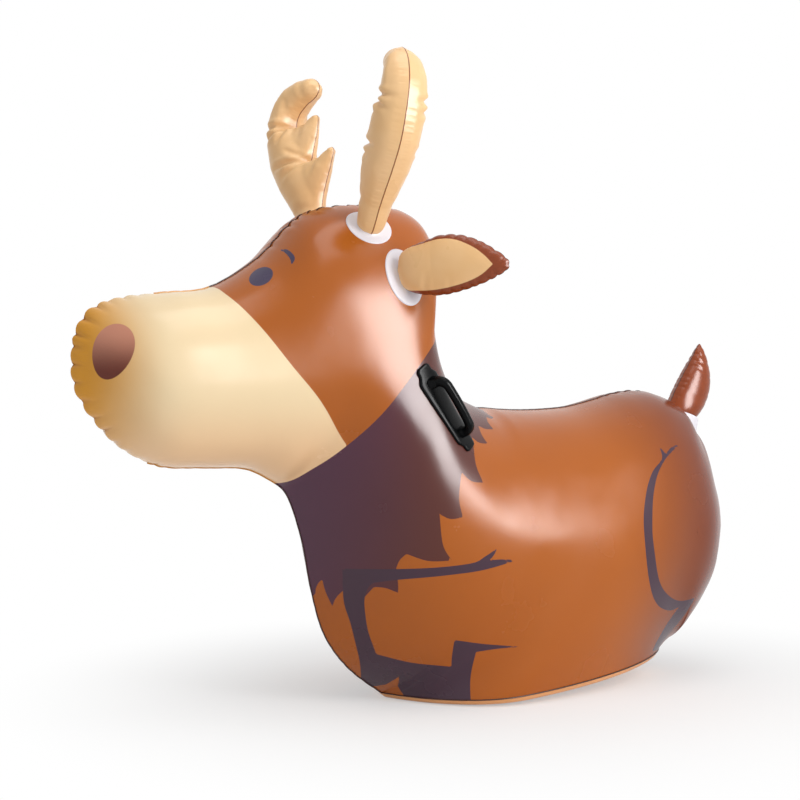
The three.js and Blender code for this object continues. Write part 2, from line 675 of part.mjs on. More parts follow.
// Handle, left: a welded plate and a moulded grip on it
const handleAim = vec(...handleCentre);
const handleHit = skinHit(handleAim.clone().add(vec(95, 20, 20)), vec(-95, -20, -20));
const handleFrame = frameOf(handleHit.point, vec(...handleDirection), wayOut(handleHit, plateWidth / 2));
function plateHalfWidthAt(a) {
  const left = plateLength / 2 - Math.abs(a);
  const tab = smooth(plateTabLength * 0.6, plateTabLength * 1.4, left);
  return (plateTabWidth + (plateWidth - plateTabWidth) * tab) / 2 - (left < 4 ? (4 - left) * 0.9 : 0);
}
function plateSolid(lift, thickness) {
  const stops = [-1, -0.95, -0.86, -0.79, -0.72, -0.55, -0.37, -0.18, 0, 0.18, 0.37, 0.55, 0.72, 0.79, 0.86, 0.95, 1].map((k) => (k * plateLength) / 2);
  const widths = [-1, -0.5, 0, 0.5, 1];
  const lower = [];
  const upper = [];
  for (const a of stops) {
    for (const w of widths) {
      const point = drape(handleFrame, a, w * plateHalfWidthAt(a), plateLength / 12, plateWidth / 4);
      lower.push(point.clone().addScaledVector(handleFrame.e2, lift));
      upper.push(point.clone().addScaledVector(handleFrame.e2, lift + thickness));
    }
  }
  const n = lower.length;
  const w = widths.length;
  const index = [];
  const quad = (a, b, c, e) => index.push(a, b, c, a, c, e);
  for (let i = 0; i < stops.length - 1; i++) {
    for (let j = 0; j < w - 1; j++) {
      const [a, b, c, e] = [i * w + j, i * w + j + 1, (i + 1) * w + j + 1, (i + 1) * w + j];
      quad(a, b, c, e);
      quad(n + a, n + e, n + c, n + b);
    }
    for (const j of [0, w - 1]) {
      const [a, b] = [i * w + j, (i + 1) * w + j];
      if (j === 0) quad(a, b, n + b, n + a);
      else quad(a, n + a, n + b, b);
    }
  }
  for (let j = 0; j < w - 1; j++) {
    const e = (stops.length - 1) * w;
    quad(j, n + j, n + j + 1, j + 1);
    quad(e + j, e + j + 1, n + e + j + 1, n + e + j);
  }
  return outwards([...lower, ...upper], index);
}
const plate = plateSolid(seatGap, plateThickness);
function gripSolid() {
  const top = seatGap + plateThickness + gripHeight;
  const half = gripSpan / 2;
  const path = [[-half, -14, 1], [-half, 0.34 * top, 0.75]];
  for (const t of [0.15, 0.5, 0.85]) {
    const a = Math.PI - (t * Math.PI) / 2;
    path.push([-half + gripBend + gripBend * Math.cos(a), top - gripBend + gripBend * Math.sin(a), 0.35 * (1 - t)]);
  }
  path.push([-half + gripBend + 8, top, 0], [0, top + 1.5, 0]);
  const whole = [...path, ...[...path.slice(0, -1)].reverse().map(([a, b, f]) => [-a, b, f])];
  const stations = whole.map(([a, b, foot], i) => {
    const p = whole[Math.max(0, i - 1)];
    const q = whole[Math.min(whole.length - 1, i + 1)];
    const way = new THREE.Vector2(q[0] - p[0], q[1] - p[1]).normalize();
    const side = handleFrame.e1.clone().multiplyScalar(way.y).addScaledVector(handleFrame.e2, -way.x);
    return {
      centre: inFrame(handleFrame, a, b, 0),
      wide: handleFrame.e3.clone().multiplyScalar(THREE.MathUtils.lerp(gripBarWidth, gripFootWidth, foot) / 2),
      thick: side.multiplyScalar(THREE.MathUtils.lerp(gripBarThickness, gripFootThickness, foot) / 2),
    };
  });
  const bar = loft(stations, inFrame(handleFrame, -half, -14.5, 0), inFrame(handleFrame, half, -14.5, 0), 12);
  return bar.subtract(plateSolid(seatGap - 40, plateThickness + 40 + seatGap));
}
const grip = gripSolid();

// Valve
const valveHit = skinHit(vec(...valveFrom), vec(...valveAim).sub(vec(...valveFrom)));
const valveFrame = frameOf(valveHit.point, Z, wayOut(valveHit, valveFlangeRadius));
// Solid of revolution about the valve's axis: a closed profile of [radius, height]
function lathe(profile, sides = 20) {
  const points = [];
  const ids = profile.map(([r, b]) => {
    const start = points.length;
    if (r === 0) points.push(inFrame(valveFrame, 0, b, 0));
    else
      for (let i = 0; i < sides; i++) {
        const t = (i / sides) * 2 * Math.PI;
        points.push(inFrame(valveFrame, r * Math.cos(t), b, r * Math.sin(t)));
      }
    return (i) => (r === 0 ? start : start + (i % sides));
  });
  const index = [];
  profile.forEach((_, k) => {
    const [p, q] = [ids[k], ids[(k + 1) % profile.length]];
    for (let i = 0; i < sides; i++) {
      const [a, b, c, e] = [p(i), p(i + 1), q(i + 1), q(i)];
      if (a !== b) index.push(a, b, c);
      if (c !== e) index.push(a, c, e);
    }
  });
  return outwards(points, index);
}
const ringSolid = (inner, outer, low, high, sides) => lathe([[inner, low], [outer, low], [outer, high], [inner, high]], sides);
function tube(radius, low, high, sides, middle = [0, 0]) {
  const stations = [low, high].map((b) => ({
    centre: inFrame(valveFrame, middle[0], b, middle[1]),
    wide: valveFrame.e1.clone().multiplyScalar(radius),
    thick: valveFrame.e3.clone().multiplyScalar(radius),
  }));
  return loft(stations, inFrame(valveFrame, middle[0], low, middle[1]), inFrame(valveFrame, middle[0], high, middle[1]), sides);
}
function block(a0, a1, b0, b1, c0, c1) {
  const corners = [];
  for (const b of [b0, b1]) for (const [a, c] of [[a0, c0], [a1, c0], [a1, c1], [a0, c1]]) corners.push(inFrame(valveFrame, a, b, c));
  const index = [0, 1, 2, 0, 2, 3, 4, 6, 5, 4, 7, 6];
  for (let i = 0; i < 4; i++) {
    const j = (i + 1) % 4;
    index.push(i, i + 4, j, j, i + 4, j + 4);
  }
  return outwards(corners, index);
}
// a rod along e1, for the hinge
function rod(radius, a0, a1, b, c, sides) {
  const stations = [a0, a1].map((a) => ({
    centre: inFrame(valveFrame, a, b, c),
    wide: valveFrame.e2.clone().multiplyScalar(radius),
    thick: valveFrame.e3.clone().multiplyScalar(radius),
  }));
  return loft(stations, inFrame(valveFrame, a0, b, c), inFrame(valveFrame, a1, b, c), sides);
}
const neckInner = valveNeckOuter - valveNeckWall;
const capBottom = valveNeckTop + valveGasketThickness + 2 * valveFit;
const capTop = capBottom + valveCapThickness;
const hingeC = valveNeckOuter + valveLugRadius + 1.6;
const hingeB = valveNeckTop;
const lugHalf = valveLugWidth / 2;
const earEnd = lugHalf + valveFit + valveEarWidth;
const pinBore = valvePinRadius + valveFit;
const flange = patch(
  valveFrame,
  ringOutline(valveFlangeRadius, valveFlangeRadius, (valveNeckOuter - 1) / valveFlangeRadius),
  20,
  2,
  seatGap,
  valveFlangeThickness,
);
const hingeEars = [-1, 1].map((s) => {
  const [a0, a1] = s < 0 ? [-earEnd, -lugHalf - valveFit] : [lugHalf + valveFit, earEnd];
  return rod(valveLugRadius, a0, a1, hingeB, hingeC, 12)
    .add(block(a0, a1, hingeB - valveLugRadius, hingeB, neckInner + 1, hingeC + valveLugRadius))
    .subtract(rod(pinBore, a0 - 1, a1 + 1, hingeB, hingeC, 12))
    .subtract(tube(neckInner + 0.6, -20, 20, 20));
});
const valveBase = Manifold.union([
  flange,
  lathe([
    [neckInner - valveLedge, -valveNeckBottom],
    [valveNeckOuter, -valveNeckBottom],
    [valveNeckOuter, valveNeckTop],
    [neckInner, valveNeckTop],
    [neckInner, -valveNeckBottom + valveLedge],
    [neckInner - valveLedge, -valveNeckBottom + valveLedge],
  ]),
  ...hingeEars,
]);
const insertLow = -valveNeckBottom + valveLedge + valveFit;
const insertHigh = insertLow + valveInsertThickness;
const insertOuter = neckInner - valveFit;
const valveInsert = Manifold.union([
  ringSolid(insertOuter - 2.2, insertOuter, insertLow, insertHigh),
  ringSolid(valveStemRadius + valveFit, valveHubRadius, insertLow, insertHigh, 12),
  ...[0, 1].map((k) => {
    const turnBy = (k * Math.PI) / 2;
    const bar = block(-insertOuter + 1, insertOuter - 1, insertLow, insertHigh, -valveSpokeWidth / 2, valveSpokeWidth / 2);
    const o = valveFrame.origin;
    const m = new THREE.Matrix4()
      .makeTranslation(o.x, o.y, o.z)
      .multiply(new THREE.Matrix4().makeRotationAxis(valveFrame.e2, turnBy))
      .multiply(new THREE.Matrix4().makeTranslation(-o.x, -o.y, -o.z));
    return bar.transform([...m.elements]);
  }),
]).subtract(tube(valveStemRadius + valveFit, insertLow - 1, insertHigh + 1, 12));
const flapRadius = neckInner - valveLedge - valveFit;
const flapHigh = insertLow - valveFit;
const valveFlap = lathe([
  [0, flapHigh - valveFlapThickness],
  [flapRadius, flapHigh - valveFlapThickness],
  [flapRadius, flapHigh],
  [valveStemRadius, flapHigh],
  [valveStemRadius, insertHigh + valveFit],
  [valveStemRadius + 1.4, insertHigh + valveFit],
  [valveStemRadius + 1.4, insertHigh + valveFit + 1.4],
  [0, insertHigh + valveFit + 1.4],
]);
const valveGasket = ringSolid(
  neckInner + 0.2,
  valveNeckOuter - 0.2,
  valveNeckTop + valveFit,
  valveNeckTop + valveFit + valveGasketThickness,
);
const plugOuter = neckInner - valveFit - 0.1;
const valveCap = Manifold.union([
  lathe([
    [0, capTop],
    [valveNeckOuter, capTop],
    [valveNeckOuter, capBottom],
    [plugOuter, capBottom],
    [plugOuter, valveNeckTop - valvePlugDepth],
    [plugOuter - valvePlugWall, valveNeckTop - valvePlugDepth],
    [plugOuter - valvePlugWall, capBottom],
    [0, capBottom],
  ]),
  rod(valveLugRadius, -lugHalf, lugHalf, hingeB, hingeC, 12),
  block(-lugHalf, lugHalf, capBottom, capTop, neckInner, hingeC),
  block(-lugHalf, lugHalf, hingeB, capTop - 0.4, hingeC - valveLugRadius + 0.6, hingeC + valveLugRadius - 0.6),
  block(-5, 5, capBottom, capTop - 0.6, -valveNeckOuter - valveTabLength, -valveNeckOuter + 2),
]).subtract(rod(pinBore, -lugHalf - 1, lugHalf + 1, hingeB, hingeC, 12));
const valvePin = Manifold.union([
  rod(valvePinRadius, -earEnd - 0.5, earEnd + 0.5, hingeB, hingeC, 10),
  rod(valvePinRadius + 0.9, earEnd + valveFit, earEnd + valveFit + 1, hingeB, hingeC, 10),
  rod(valvePinRadius + 0.9, -earEnd - valveFit - 1, -earEnd - valveFit, hingeB, hingeC, 10),
]);
const valveHole = tube(valveNeckOuter + valveFit, -valveNeckBottom - 6, valveNeckTop + 20, 20);

// Side panels with their openings
const leftPanel = toSolid(leftShell.geometry)
  .subtract(skinHoles.antler)
  .subtract(skinHoles.ear)
  .subtract(skinHoles.tail);
const rightPanel = toSolid(rightGeometry)
  .subtract(toSolid(mirrored(toGeometry(skinHoles.antler))))
  .subtract(toSolid(mirrored(toGeometry(skinHoles.ear))))
  .subtract(skinHoles.tail)
  .subtract(valveHole);

const hopper = new THREE.Group();
hopper.name = 'hopper';
const groups = {};
function piece(group, name, solid, colour, roughness, flip = false) {
  if (!groups[group]) {
    groups[group] = new THREE.Group();
    groups[group].name = group;
    hopper.add(groups[group]);
  }
  const geometry = solid.isBufferGeometry ? solid : toGeometry(solid);
  const mesh = new THREE.Mesh(
    flip ? mirrored(geometry) : geometry,
    new THREE.MeshStandardMaterial({ color: colour, roughness, metalness: 0 }),
  );
  mesh.name = name;
  groups[group].add(mesh);
}
const brown = '#b0622c';
const peach = '#f0c48a';
const white = '#f3f0f4';
const black = '#0a0d10';
const clear = '#dfe3e6';

piece('skin', 'left_side_panel', leftPanel, brown, 0.32);
piece('skin', 'right_side_panel', rightPanel, brown, 0.32);
piece('skin', 'base_panel', basePanel().geometry, '#f0b27a', 0.4);
for (const [side, flip] of [['left', false], ['right', true]]) {
  piece(`${side}_antler`, `${side}_antler_front`, antlerPanels[0], peach, 0.34, flip);
  piece(`${side}_antler`, `${side}_antler_back`, antlerPanels[1], peach, 0.34, flip);
  piece('collars', `${side}_antler_collar`, antlerCollar, white, 0.4, flip);
  piece(`${side}_ear`, `${side}_ear_front`, earPanels[1], peach, 0.34, flip);
  piece(`${side}_ear`, `${side}_ear_back`, earPanels[0], '#96451f', 0.34, flip);
  piece('collars', `${side}_ear_collar`, earCollar, white, 0.4, flip);
  piece('handles', `${side}_handle_plate`, plate, black, 0.25, flip);
  piece('handles', `${side}_handle_grip`, grip, black, 0.25, flip);
}
piece('tail', 'tail_left', tailPanels[0], '#8f421c', 0.34);
piece('tail', 'tail_right', tailPanels[1], '#8f421c', 0.34);
piece('collars', 'tail_collar', tailCollar, white, 0.4);
piece('valve', 'valve_base', valveBase, clear, 0.3);
piece('valve', 'valve_insert', valveInsert, clear, 0.35);
piece('valve', 'valve_flap', valveFlap, '#e7e4dc', 0.5);
piece('valve', 'valve_gasket', valveGasket, '#e7e4dc', 0.5);
piece('valve', 'valve_cap', valveCap, clear, 0.3);
piece('valve', 'valve_pin', valvePin, clear, 0.3);

export default hopper;
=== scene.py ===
from math import cos, pi, radians, sin

import bpy
import numpy as np
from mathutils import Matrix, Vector
from mathutils.bvhtree import BVHTree
from mathutils.geometry import delaunay_2d_cdt


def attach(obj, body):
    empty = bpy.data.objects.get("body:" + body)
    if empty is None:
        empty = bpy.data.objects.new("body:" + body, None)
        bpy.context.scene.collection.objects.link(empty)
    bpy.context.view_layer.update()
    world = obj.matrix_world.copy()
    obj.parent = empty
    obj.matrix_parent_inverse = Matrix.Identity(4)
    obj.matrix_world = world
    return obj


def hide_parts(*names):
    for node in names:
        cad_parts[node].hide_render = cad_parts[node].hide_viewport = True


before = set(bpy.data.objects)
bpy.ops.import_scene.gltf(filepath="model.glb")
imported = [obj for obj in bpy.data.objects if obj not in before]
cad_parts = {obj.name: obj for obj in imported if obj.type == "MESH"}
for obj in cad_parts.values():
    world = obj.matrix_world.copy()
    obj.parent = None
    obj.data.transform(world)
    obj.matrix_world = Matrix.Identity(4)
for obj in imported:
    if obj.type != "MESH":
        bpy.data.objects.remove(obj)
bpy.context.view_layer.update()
mm = 0.001
print("frame loaded:", len(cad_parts), "nodes")


# Small helpers

def linear(code):
    parts = [int(code[i:i + 2], 16) / 255 for i in (1, 3, 5)]
    return [c / 12.92 if c <= 0.04045 else ((c + 0.055) / 1.055) ** 2.4 for c in parts] + [1.0]


def addNode(material, kind, inputs=None, **settings):
    node = material.node_tree.nodes.new(kind)
    for key, value in settings.items():
        setattr(node, key, value)
    for key, value in (inputs or {}).items():
        if isinstance(value, bpy.types.NodeSocket):
            material.node_tree.links.new(value, node.inputs[key])
        else:
            node.inputs[key].default_value = value
    return node


def freshMaterial(name):
    material = bpy.data.materials.new(name)
    material.use_nodes = True
    material.node_tree.nodes.clear()
    return material


def deselect():
    if bpy.context.object and bpy.context.object.mode != "OBJECT":
        bpy.ops.object.mode_set(mode="OBJECT")
    bpy.ops.object.select_all(action="DESELECT")


def makeActive(piece):
    deselect()
    piece.select_set(True)
    bpy.context.view_layer.objects.active = piece


def editMesh(piece, *steps):  # runs edit-mode operators on the whole mesh
    makeActive(piece)
    bpy.ops.object.mode_set(mode="EDIT")
    bpy.ops.mesh.select_all(action="SELECT")
    for step in steps:
        step()
    bpy.ops.object.mode_set(mode="OBJECT")


def readPoints(piece):
    out = np.zeros(len(piece.data.vertices) * 3, np.float32)
    piece.data.vertices.foreach_get("co", out)
    return out.reshape(-1, 3).astype(float)


def writePoints(piece, points):
    piece.data.vertices.foreach_set("co", np.asarray(points, np.float32).ravel())
    piece.data.update()


def readNormals(piece):
    out = np.zeros(len(piece.data.vertices) * 3, np.float32)
    piece.data.vertex_normals.foreach_get("vector", out)
    return out.reshape(-1, 3).astype(float)


def setNumbers(piece, name, values):
    layer = piece.data.attributes.get(name) or piece.data.attributes.new(name, "FLOAT", "POINT")
    layer.data.foreach_set("value", np.asarray(values, np.float32))


def getNumbers(piece, name):
    out = np.zeros(len(piece.data.vertices), np.float32)
    piece.data.attributes[name].data.foreach_get("value", out)
    return out.astype(float)


def sheetFrom(name, points, numbers=None):  # a grid primitive shaped to rows x columns of points, in metres
    rows, columns = points.shape[:2]
    deselect()
    bpy.ops.mesh.primitive_grid_add(x_subdivisions=columns - 1, y_subdivisions=rows - 1, size=2)
    piece = bpy.context.object
    piece.name = name
    flat = readPoints(piece)
    j = np.rint((flat[:, 0] + 1) / 2 * (columns - 1)).astype(int)
    i = np.rint((flat[:, 1] + 1) / 2 * (rows - 1)).astype(int)
    writePoints(piece, points[i, j])
    for key, values in (numbers or {}).items():
        setNumbers(piece, key, values[i, j])
    return piece


def mergeDoubles(piece, distance, outward=False):
    steps = [lambda: bpy.ops.mesh.remove_doubles(threshold=distance)]
    if outward:
        steps.append(lambda: bpy.ops.mesh.normals_make_consistent(inside=False))
    editMesh(piece, *steps)


def faceTowards(piece, way):  # turns the faces over where they look against the given way
    if np.sum(readNormals(piece) * way) < 0:
        editMesh(piece, bpy.ops.mesh.flip_normals)


def smoothShade(piece):
    makeActive(piece)
    bpy.ops.object.shade_smooth()


def finishPiece(piece, material, body, nodes=()):
    piece.data.materials.clear()
    piece.data.materials.append(material)
    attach(piece, body)
    if nodes:
        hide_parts(*nodes)
    return piece


def ease(f):
    return f * f * (3 - 2 * f)


def mirrored(side):  # 1 for the left of the toy, -1 for its right
    return np.array([side, 1, 1])


def curveThrough(values, t):  # Catmull-Rom
    values = np.asarray(values, float)
    i = np.clip(np.floor(t).astype(int), 0, len(values) - 2)
    f = t - i
    a, b, c, d = (values[np.clip(i + k, 0, len(values) - 1)] for k in (-1, 0, 1, 2))
    return 0.5 * (2 * b + (c - a) * f + (2 * a - 5 * b + 4 * c - d) * f**2 + (3 * b - a - 3 * c + d) * f**3)


def steadyThrough(values, t):  # the same, but it stays level between equal values
    values = np.asarray(values, float)
    i = np.clip(np.floor(t).astype(int), 0, len(values) - 2)
    f = t - i
    at = lambda k: values[np.clip(k, 0, len(values) - 1)]

    def slope(k):
        left, right = at(k) - at(k - 1), at(k + 1) - at(k)
        both = np.where(left * right > 0, left + right, 1)
        return np.where(left * right > 0, 2 * left * right / both, 0)

    return ((2 * f**3 - 3 * f**2 + 1) * at(i) + (f**3 - 2 * f**2 + f) * slope(i)
            + (3 * f**2 - 2 * f**3) * at(i + 1) + (f**3 - f**2) * slope(i + 1))


def strokeLine(strokes, step):  # smooth inside each stroke, a corner where two strokes meet
    out = []
    for stroke in strokes:
        stroke = np.asarray(stroke, float)
        t = np.linspace(0, len(stroke) - 1, 24 * (len(stroke) - 1) + 1)
        line = np.stack([curveThrough(stroke[:, k], t) for k in (0, 1)], 1)
        run = np.concatenate([[0], np.cumsum(np.hypot(*np.diff(line, axis=0).T))])
        count = max(2, int(round(run[-1] / step)))
        at = np.linspace(0, run[-1], count + 1)[:-1]
        out.append(np.stack([np.interp(at, run, line[:, k]) for k in (0, 1)], 1))
    return np.concatenate(out)


def edgeDistance(points, outline):  # distance to a closed outline, positive inside, and the nearest place along it
    best = np.full(len(points), 1e9)
    place = np.zeros(len(points))
    inside = np.zeros(len(points), bool)
    run = 0.0
    for a, b in zip(outline, np.roll(outline, -1, axis=0)):
        d = b - a
        length = np.hypot(*d)
        f = np.clip(((points - a) @ d) / max(length**2, 1e-9), 0, 1)
        far = np.hypot(*(points - a - f[:, None] * d).T)
        nearer = far < best
        place[nearer] = run + f[nearer] * length
        best = np.minimum(best, far)
        if abs(d[1]) > 1e-9:
            crosses = (a[1] > points[:, 1]) != (b[1] > points[:, 1])
            inside ^= crosses & (points[:, 0] < d[0] * (points[:, 1] - a[1]) / d[1] + a[0])
        run += length
    return np.where(inside, best, -best), place


def gathers(along, inwards, folds):  # how far the film sinks between the pillows of a welded edge, in mm
    k = np.clip(np.searchsorted(folds["at"], along), 1, len(folds["at"]) - 1)
    left, right = folds["at"][k - 1], folds["at"][k]
    f = np.clip((along - left) / (right - left), 0, 1)
    mix = lambda key: folds[key][k - 1] * (1 - f) + folds[key][k] * f
    reach = mix("reach")
    pillow = np.abs(np.sin(pi * f)) ** 0.6
    valley = (1 - pillow) ** (1 + 1.2 * inwards / reach)
    fade = np.exp(-((inwards / reach) ** 2))
    swell = 0.25 * np.sin(pi * np.clip(inwards / (1.6 * reach), 0, 1)) * pillow
    return mix("depth") * (valley * fade - swell * np.exp(-inwards / (1.5 * reach)))


def foldMarks(start, end, spacing, depthAt, reach, seed):
    rng = np.random.default_rng(seed)
    count = max(2, int(round((end - start) / spacing)))
    gaps = rng.uniform(0.62, 1.38, count)
    at = start + np.concatenate([[0], np.cumsum(gaps)]) / gaps.sum() * (end - start)
    return {"at": at, "depth": depthAt(at) * rng.uniform(0.7, 1.2, count + 1),
            "reach": reach * rng.uniform(0.7, 1.35, count + 1)}


# Body: printed film, side panels. Each rib is [top y, top z, ridge y, ridge z, half thickness, low y, low z], in mm.
bodyFilm = {
    "ribs": [
        [-747, 484, -632, 465, 100, -747, 484], [-742, 530, -632, 465, 100, -740, 452],
        [-718, 565, -632, 465, 100, -716, 415], [-668, 582, -632, 465, 100, -677, 378],
        [-613, 588, -622, 465, 101, -622, 353], [-545, 598, -560, 467, 107, -553, 349],
        [-470, 642, -495, 474, 115, -490, 346], [-405, 704, -435, 487, 125, -446, 327],
        [-330, 725, -388, 490, 135, -426, 312], [-240, 723, -348, 470, 144, -414, 290],
        [-205, 688, -318, 436, 150, -404, 262], [-224, 612, -292, 396, 156, -394, 227],
        [-218, 535, -264, 347, 166, -383, 172], [-182, 469, -224, 290, 173, -361, 104],
        [-112, 434, -172, 248, 178, -320, 51], [-72, 429, -143, 238, 180, -261, None],
        [-45, 427, -125, 232, 181, -251, None], [-10, 426, -104, 228, 182, -226, None],
        [35, 427, -66, 224, 183, -180, None], [85, 431, -14, 221, 184, -110, None],
        [135, 441, 42, 221, 184, -20, None], [185, 453, 104, 223, 181, 70, None],
        [235, 457, 162, 227, 173, 150, None], [278, 446, 200, 231, 165, 210, None],
        [303, 432, 213, 233, 162, 243, None], [320, 417, 217, 235, 161, 257, None],
        [335, 400, 218, 237, 160.5, 276, 58], [350, 352, 218, 238, 160.5, 310, 96],
        [358, 302, 218, 238, 160.5, 342, 150], [359, 238, 218, 238, 160.5, 359, 238],
    ],
    "firstBaseRib": 15, "lastBaseRib": 25,
    "stepsPerRib": 12, "fineRibs": [(4, 9, 20), (13, 24, 18)],  # more steps: [from rib, to rib, steps]
    "columns": 92, "spread": 1.6, "straight": 0.75,
    "muzzleFlatness": 0.85, "chestFlatness": 0.8, "rearFlatness": 0.32,  # how far the films meet as a lens
    "baseHalfWidth": 158, "baseFront": -261, "baseRear": 257, "baseWidest": -105, "baseMiddle": -35,
    "frontTaper": (2.3, 0.85),
    # height of the base seam: at its lowest, and how it lifts to the front and to the rear
    "seamLow": 7.5, "frontLiftStart": -150, "frontLiftRun": 121, "rearLift": 35, "rearLiftStart": -235,
    "rearLiftRun": 492,
    "evenCell": 4, "evenBlur": 15, "evenFrom": 25, "evenOver": 45,
    "gatherSpacing": 21, "gatherReach": 19,
    # depth of the gathers along the top and the low seam: [rib, mm]
    "topGathers": [[0, 7.0], [2, 6.6], [3, 3.6], [3.6, 1.4], [4.5, 0.3], [6, 0.8], [6.6, 3.2], [7.2, 6.0], [9.4, 5.8],
                   [10, 2.4],
                   [11, 0.2], [20, 0.2], [21, 1.6], [22, 4.0], [25, 4.0], [27, 3.0], [29, 2.2]],
    "lowGathers": [[0, 7.0], [2, 6.6], [3, 4.6], [3.8, 2.4], [4.6, 0.4], [8, 0.2], [12, 0.3], [14, 0.8], [15, 0.6],
                   [16, 0.3],
                   [24, 0.3], [25, 0.8], [26, 1.4], [29, 1.6]],
}


def seamHeight(y):
    b = bodyFilm
    front = np.maximum(0, (b["frontLiftStart"] - y) / b["frontLiftRun"]) ** 1.5
    return b["seamLow"] + front + b["rearLift"] * np.maximum(0, (y - b["rearLiftStart"]) / b["rearLiftRun"]) ** 1.2


def baseHalfWidth(y):
    b = bodyFilm
    ahead = np.clip((b["baseWidest"] - y) / (b["baseWidest"] - b["baseFront"]), 0, 1)
    behind = np.clip((y - b["baseWidest"]) / (b["baseRear"] - b["baseWidest"]), 0, 1)
    curve, taper = b["frontTaper"]
    front = np.maximum(0, 1 - ahead**curve) ** taper
    rear = np.sqrt(np.maximum(0, 1 - behind**2))
    return b["baseHalfWidth"] * np.where(y < b["baseWidest"], front, rear)


def bodyPoints():
    b = bodyFilm
    ribs = [[*r[:6], float(seamHeight(np.array(r[5]))) if r[6] is None else r[6]] for r in b["ribs"]]
    ribs = np.array(ribs, float)
    first, last = b["firstBaseRib"], b["lastBaseRib"]
    t = []
    for i in range(len(ribs) - 1):
        n = next((k for a, z, k in b["fineRibs"] if a <= i <= z), b["stepsPerRib"])
        f = np.arange(n) / n
        if i == first:
            f = f**1.5  # the base seam turns fastest at its two ends
        if i == last - 1:
            f = 1 - (1 - f) ** 2
        t.extend(i + f)
    t = np.array(t + [len(ribs) - 1.0])
    topY, topZ = (curveThrough(ribs[:, k], t) for k in (0, 1))
    ridgeY, ridgeZ, half = (steadyThrough(ribs[:, k], t) for k in (2, 3, 4))
    lowY, lowZ = (curveThrough(ribs[:, k], t) for k in (5, 6))
    onBase = (t >= first) & (t <= last)
    lowZ = np.where(onBase, seamHeight(lowY), lowZ)
    reach = np.where(onBase, baseHalfWidth(lowY), 0)
    c = b["columns"]
    share = np.linspace(0, 1, c + 1)
    angle = np.arctan2(np.sin(share * pi / 2), b["spread"] * np.cos(share * pi / 2))

    ramp = lambda low, high: ease(np.clip((t - low) / (high - low), 0, 1))  # over rib numbers
    muzzle = b["muzzleFlatness"] * (1 - ramp(1.5, 4.5))
    chest = b["chestFlatness"] * ramp(6.5, 8.5) * (1 - 0.4 * ramp(12.5, 15)) * (1 - ramp(15, 18))
    rump = b["rearFlatness"] * ramp(23, 25) * (1 - ramp(27, 29))

    def halfPanel(seamY, seamZ, seamX, flatness):
        straight = np.maximum(b["straight"] * seamX / b["baseHalfWidth"], flatness)[:, None]
        run = (1 - np.cos(angle)) * (1 - straight) + straight * angle * 2 / pi
        hold = 1 + 1.5 * (1 - seamX / b["baseHalfWidth"])[:, None]  # how soon the wall forgets the seam below it
        x = half[:, None] * np.sin(angle) + seamX[:, None] * (1 - np.sin(angle)) ** hold
        y = seamY[:, None] + (ridgeY - seamY)[:, None] * run
        z = seamZ[:, None] + (ridgeZ - seamZ)[:, None] * run
        return np.stack([x, y, z], 2)

    upper = halfPanel(topY, topZ, np.zeros_like(t), muzzle + rump)
    lower = halfPanel(lowY, lowZ, reach, np.maximum(muzzle, chest))[:, ::-1]
    points = np.concatenate([upper, lower[:, 1:]], 1)
    return t, points, onBase


ribAt, bodyGrid, onBase = bodyPoints()
middle = bodyFilm["columns"]


def runAlong(line):
    return np.concatenate([[0], np.cumsum(np.linalg.norm(np.diff(line, axis=0), axis=1))])


topRun, lowRun = runAlong(bodyGrid[:, 0]), runAlong(bodyGrid[:, -1])
steps = np.linalg.norm(np.diff(bodyGrid, axis=1), axis=2)
fromTop = np.concatenate([np.zeros((len(ribAt), 1)), np.cumsum(steps, 1)], 1)
fromLow = fromTop[:, -1:] - fromTop
isTop = np.arange(2 * middle + 1)[None, :] <= middle
inwards = np.where(isTop, fromTop, fromLow)


def evenOut(points, cell, blur):  # the film pulls its bulge even: x blurred over y and z, the seams kept
    low = points[:, :, 1:].min((0, 1)) - 3 * blur
    size = np.ceil((points[:, :, 1:].max((0, 1)) + 3 * blur - low) / cell).astype(int) + 1
    dy, dz = np.gradient(points[:, :, 1]), np.gradient(points[:, :, 2])
    area = np.abs(dy[0] * dz[1] - dy[1] * dz[0]).ravel() + 1e-6
    at = (points[:, :, 1:].reshape(-1, 2) - low) / cell
    index = np.floor(at + 0.5).astype(int)
    flat = index[:, 0] * size[1] + index[:, 1]
    top = np.bincount(flat, area * points[:, :, 0].ravel(), size.prod()).reshape(size)
    under = np.bincount(flat, area, size.prod()).reshape(size)
    reach = int(3 * blur / cell)
    kernel = np.exp(-0.5 * (np.arange(-reach, reach + 1) * cell / blur) ** 2)
    for axis in (0, 1):
        top, under = (np.apply_along_axis(np.convolve, axis, g, kernel, "same") for g in (top, under))
    smooth = top / np.maximum(under, 1e-9)
    i, j = np.floor(at).astype(int).T
    f, g = (at - np.floor(at)).T
    mean = (smooth[i, j] * (1 - f) * (1 - g) + smooth[i + 1, j] * f * (1 - g)
            + smooth[i, j + 1] * (1 - f) * g + smooth[i + 1, j + 1] * f * g)
    seam = np.concatenate([points[::3, 0, 1:], points[::3, -1, 1:]])
    flatPoints = points[:, :, 1:].reshape(-1, 2)
    near = np.full(len(flatPoints), 1e9)
    for p in seam:
        near = np.minimum(near, ((flatPoints - p) ** 2).sum(1))
    share = ease(np.clip((np.sqrt(near) - bodyFilm["evenFrom"]) / bodyFilm["evenOver"], 0, 1))
    out = points.copy()
    out[:, :, 0] += (share * (mean - points[:, :, 0].ravel())).reshape(points.shape[:2])
    return out


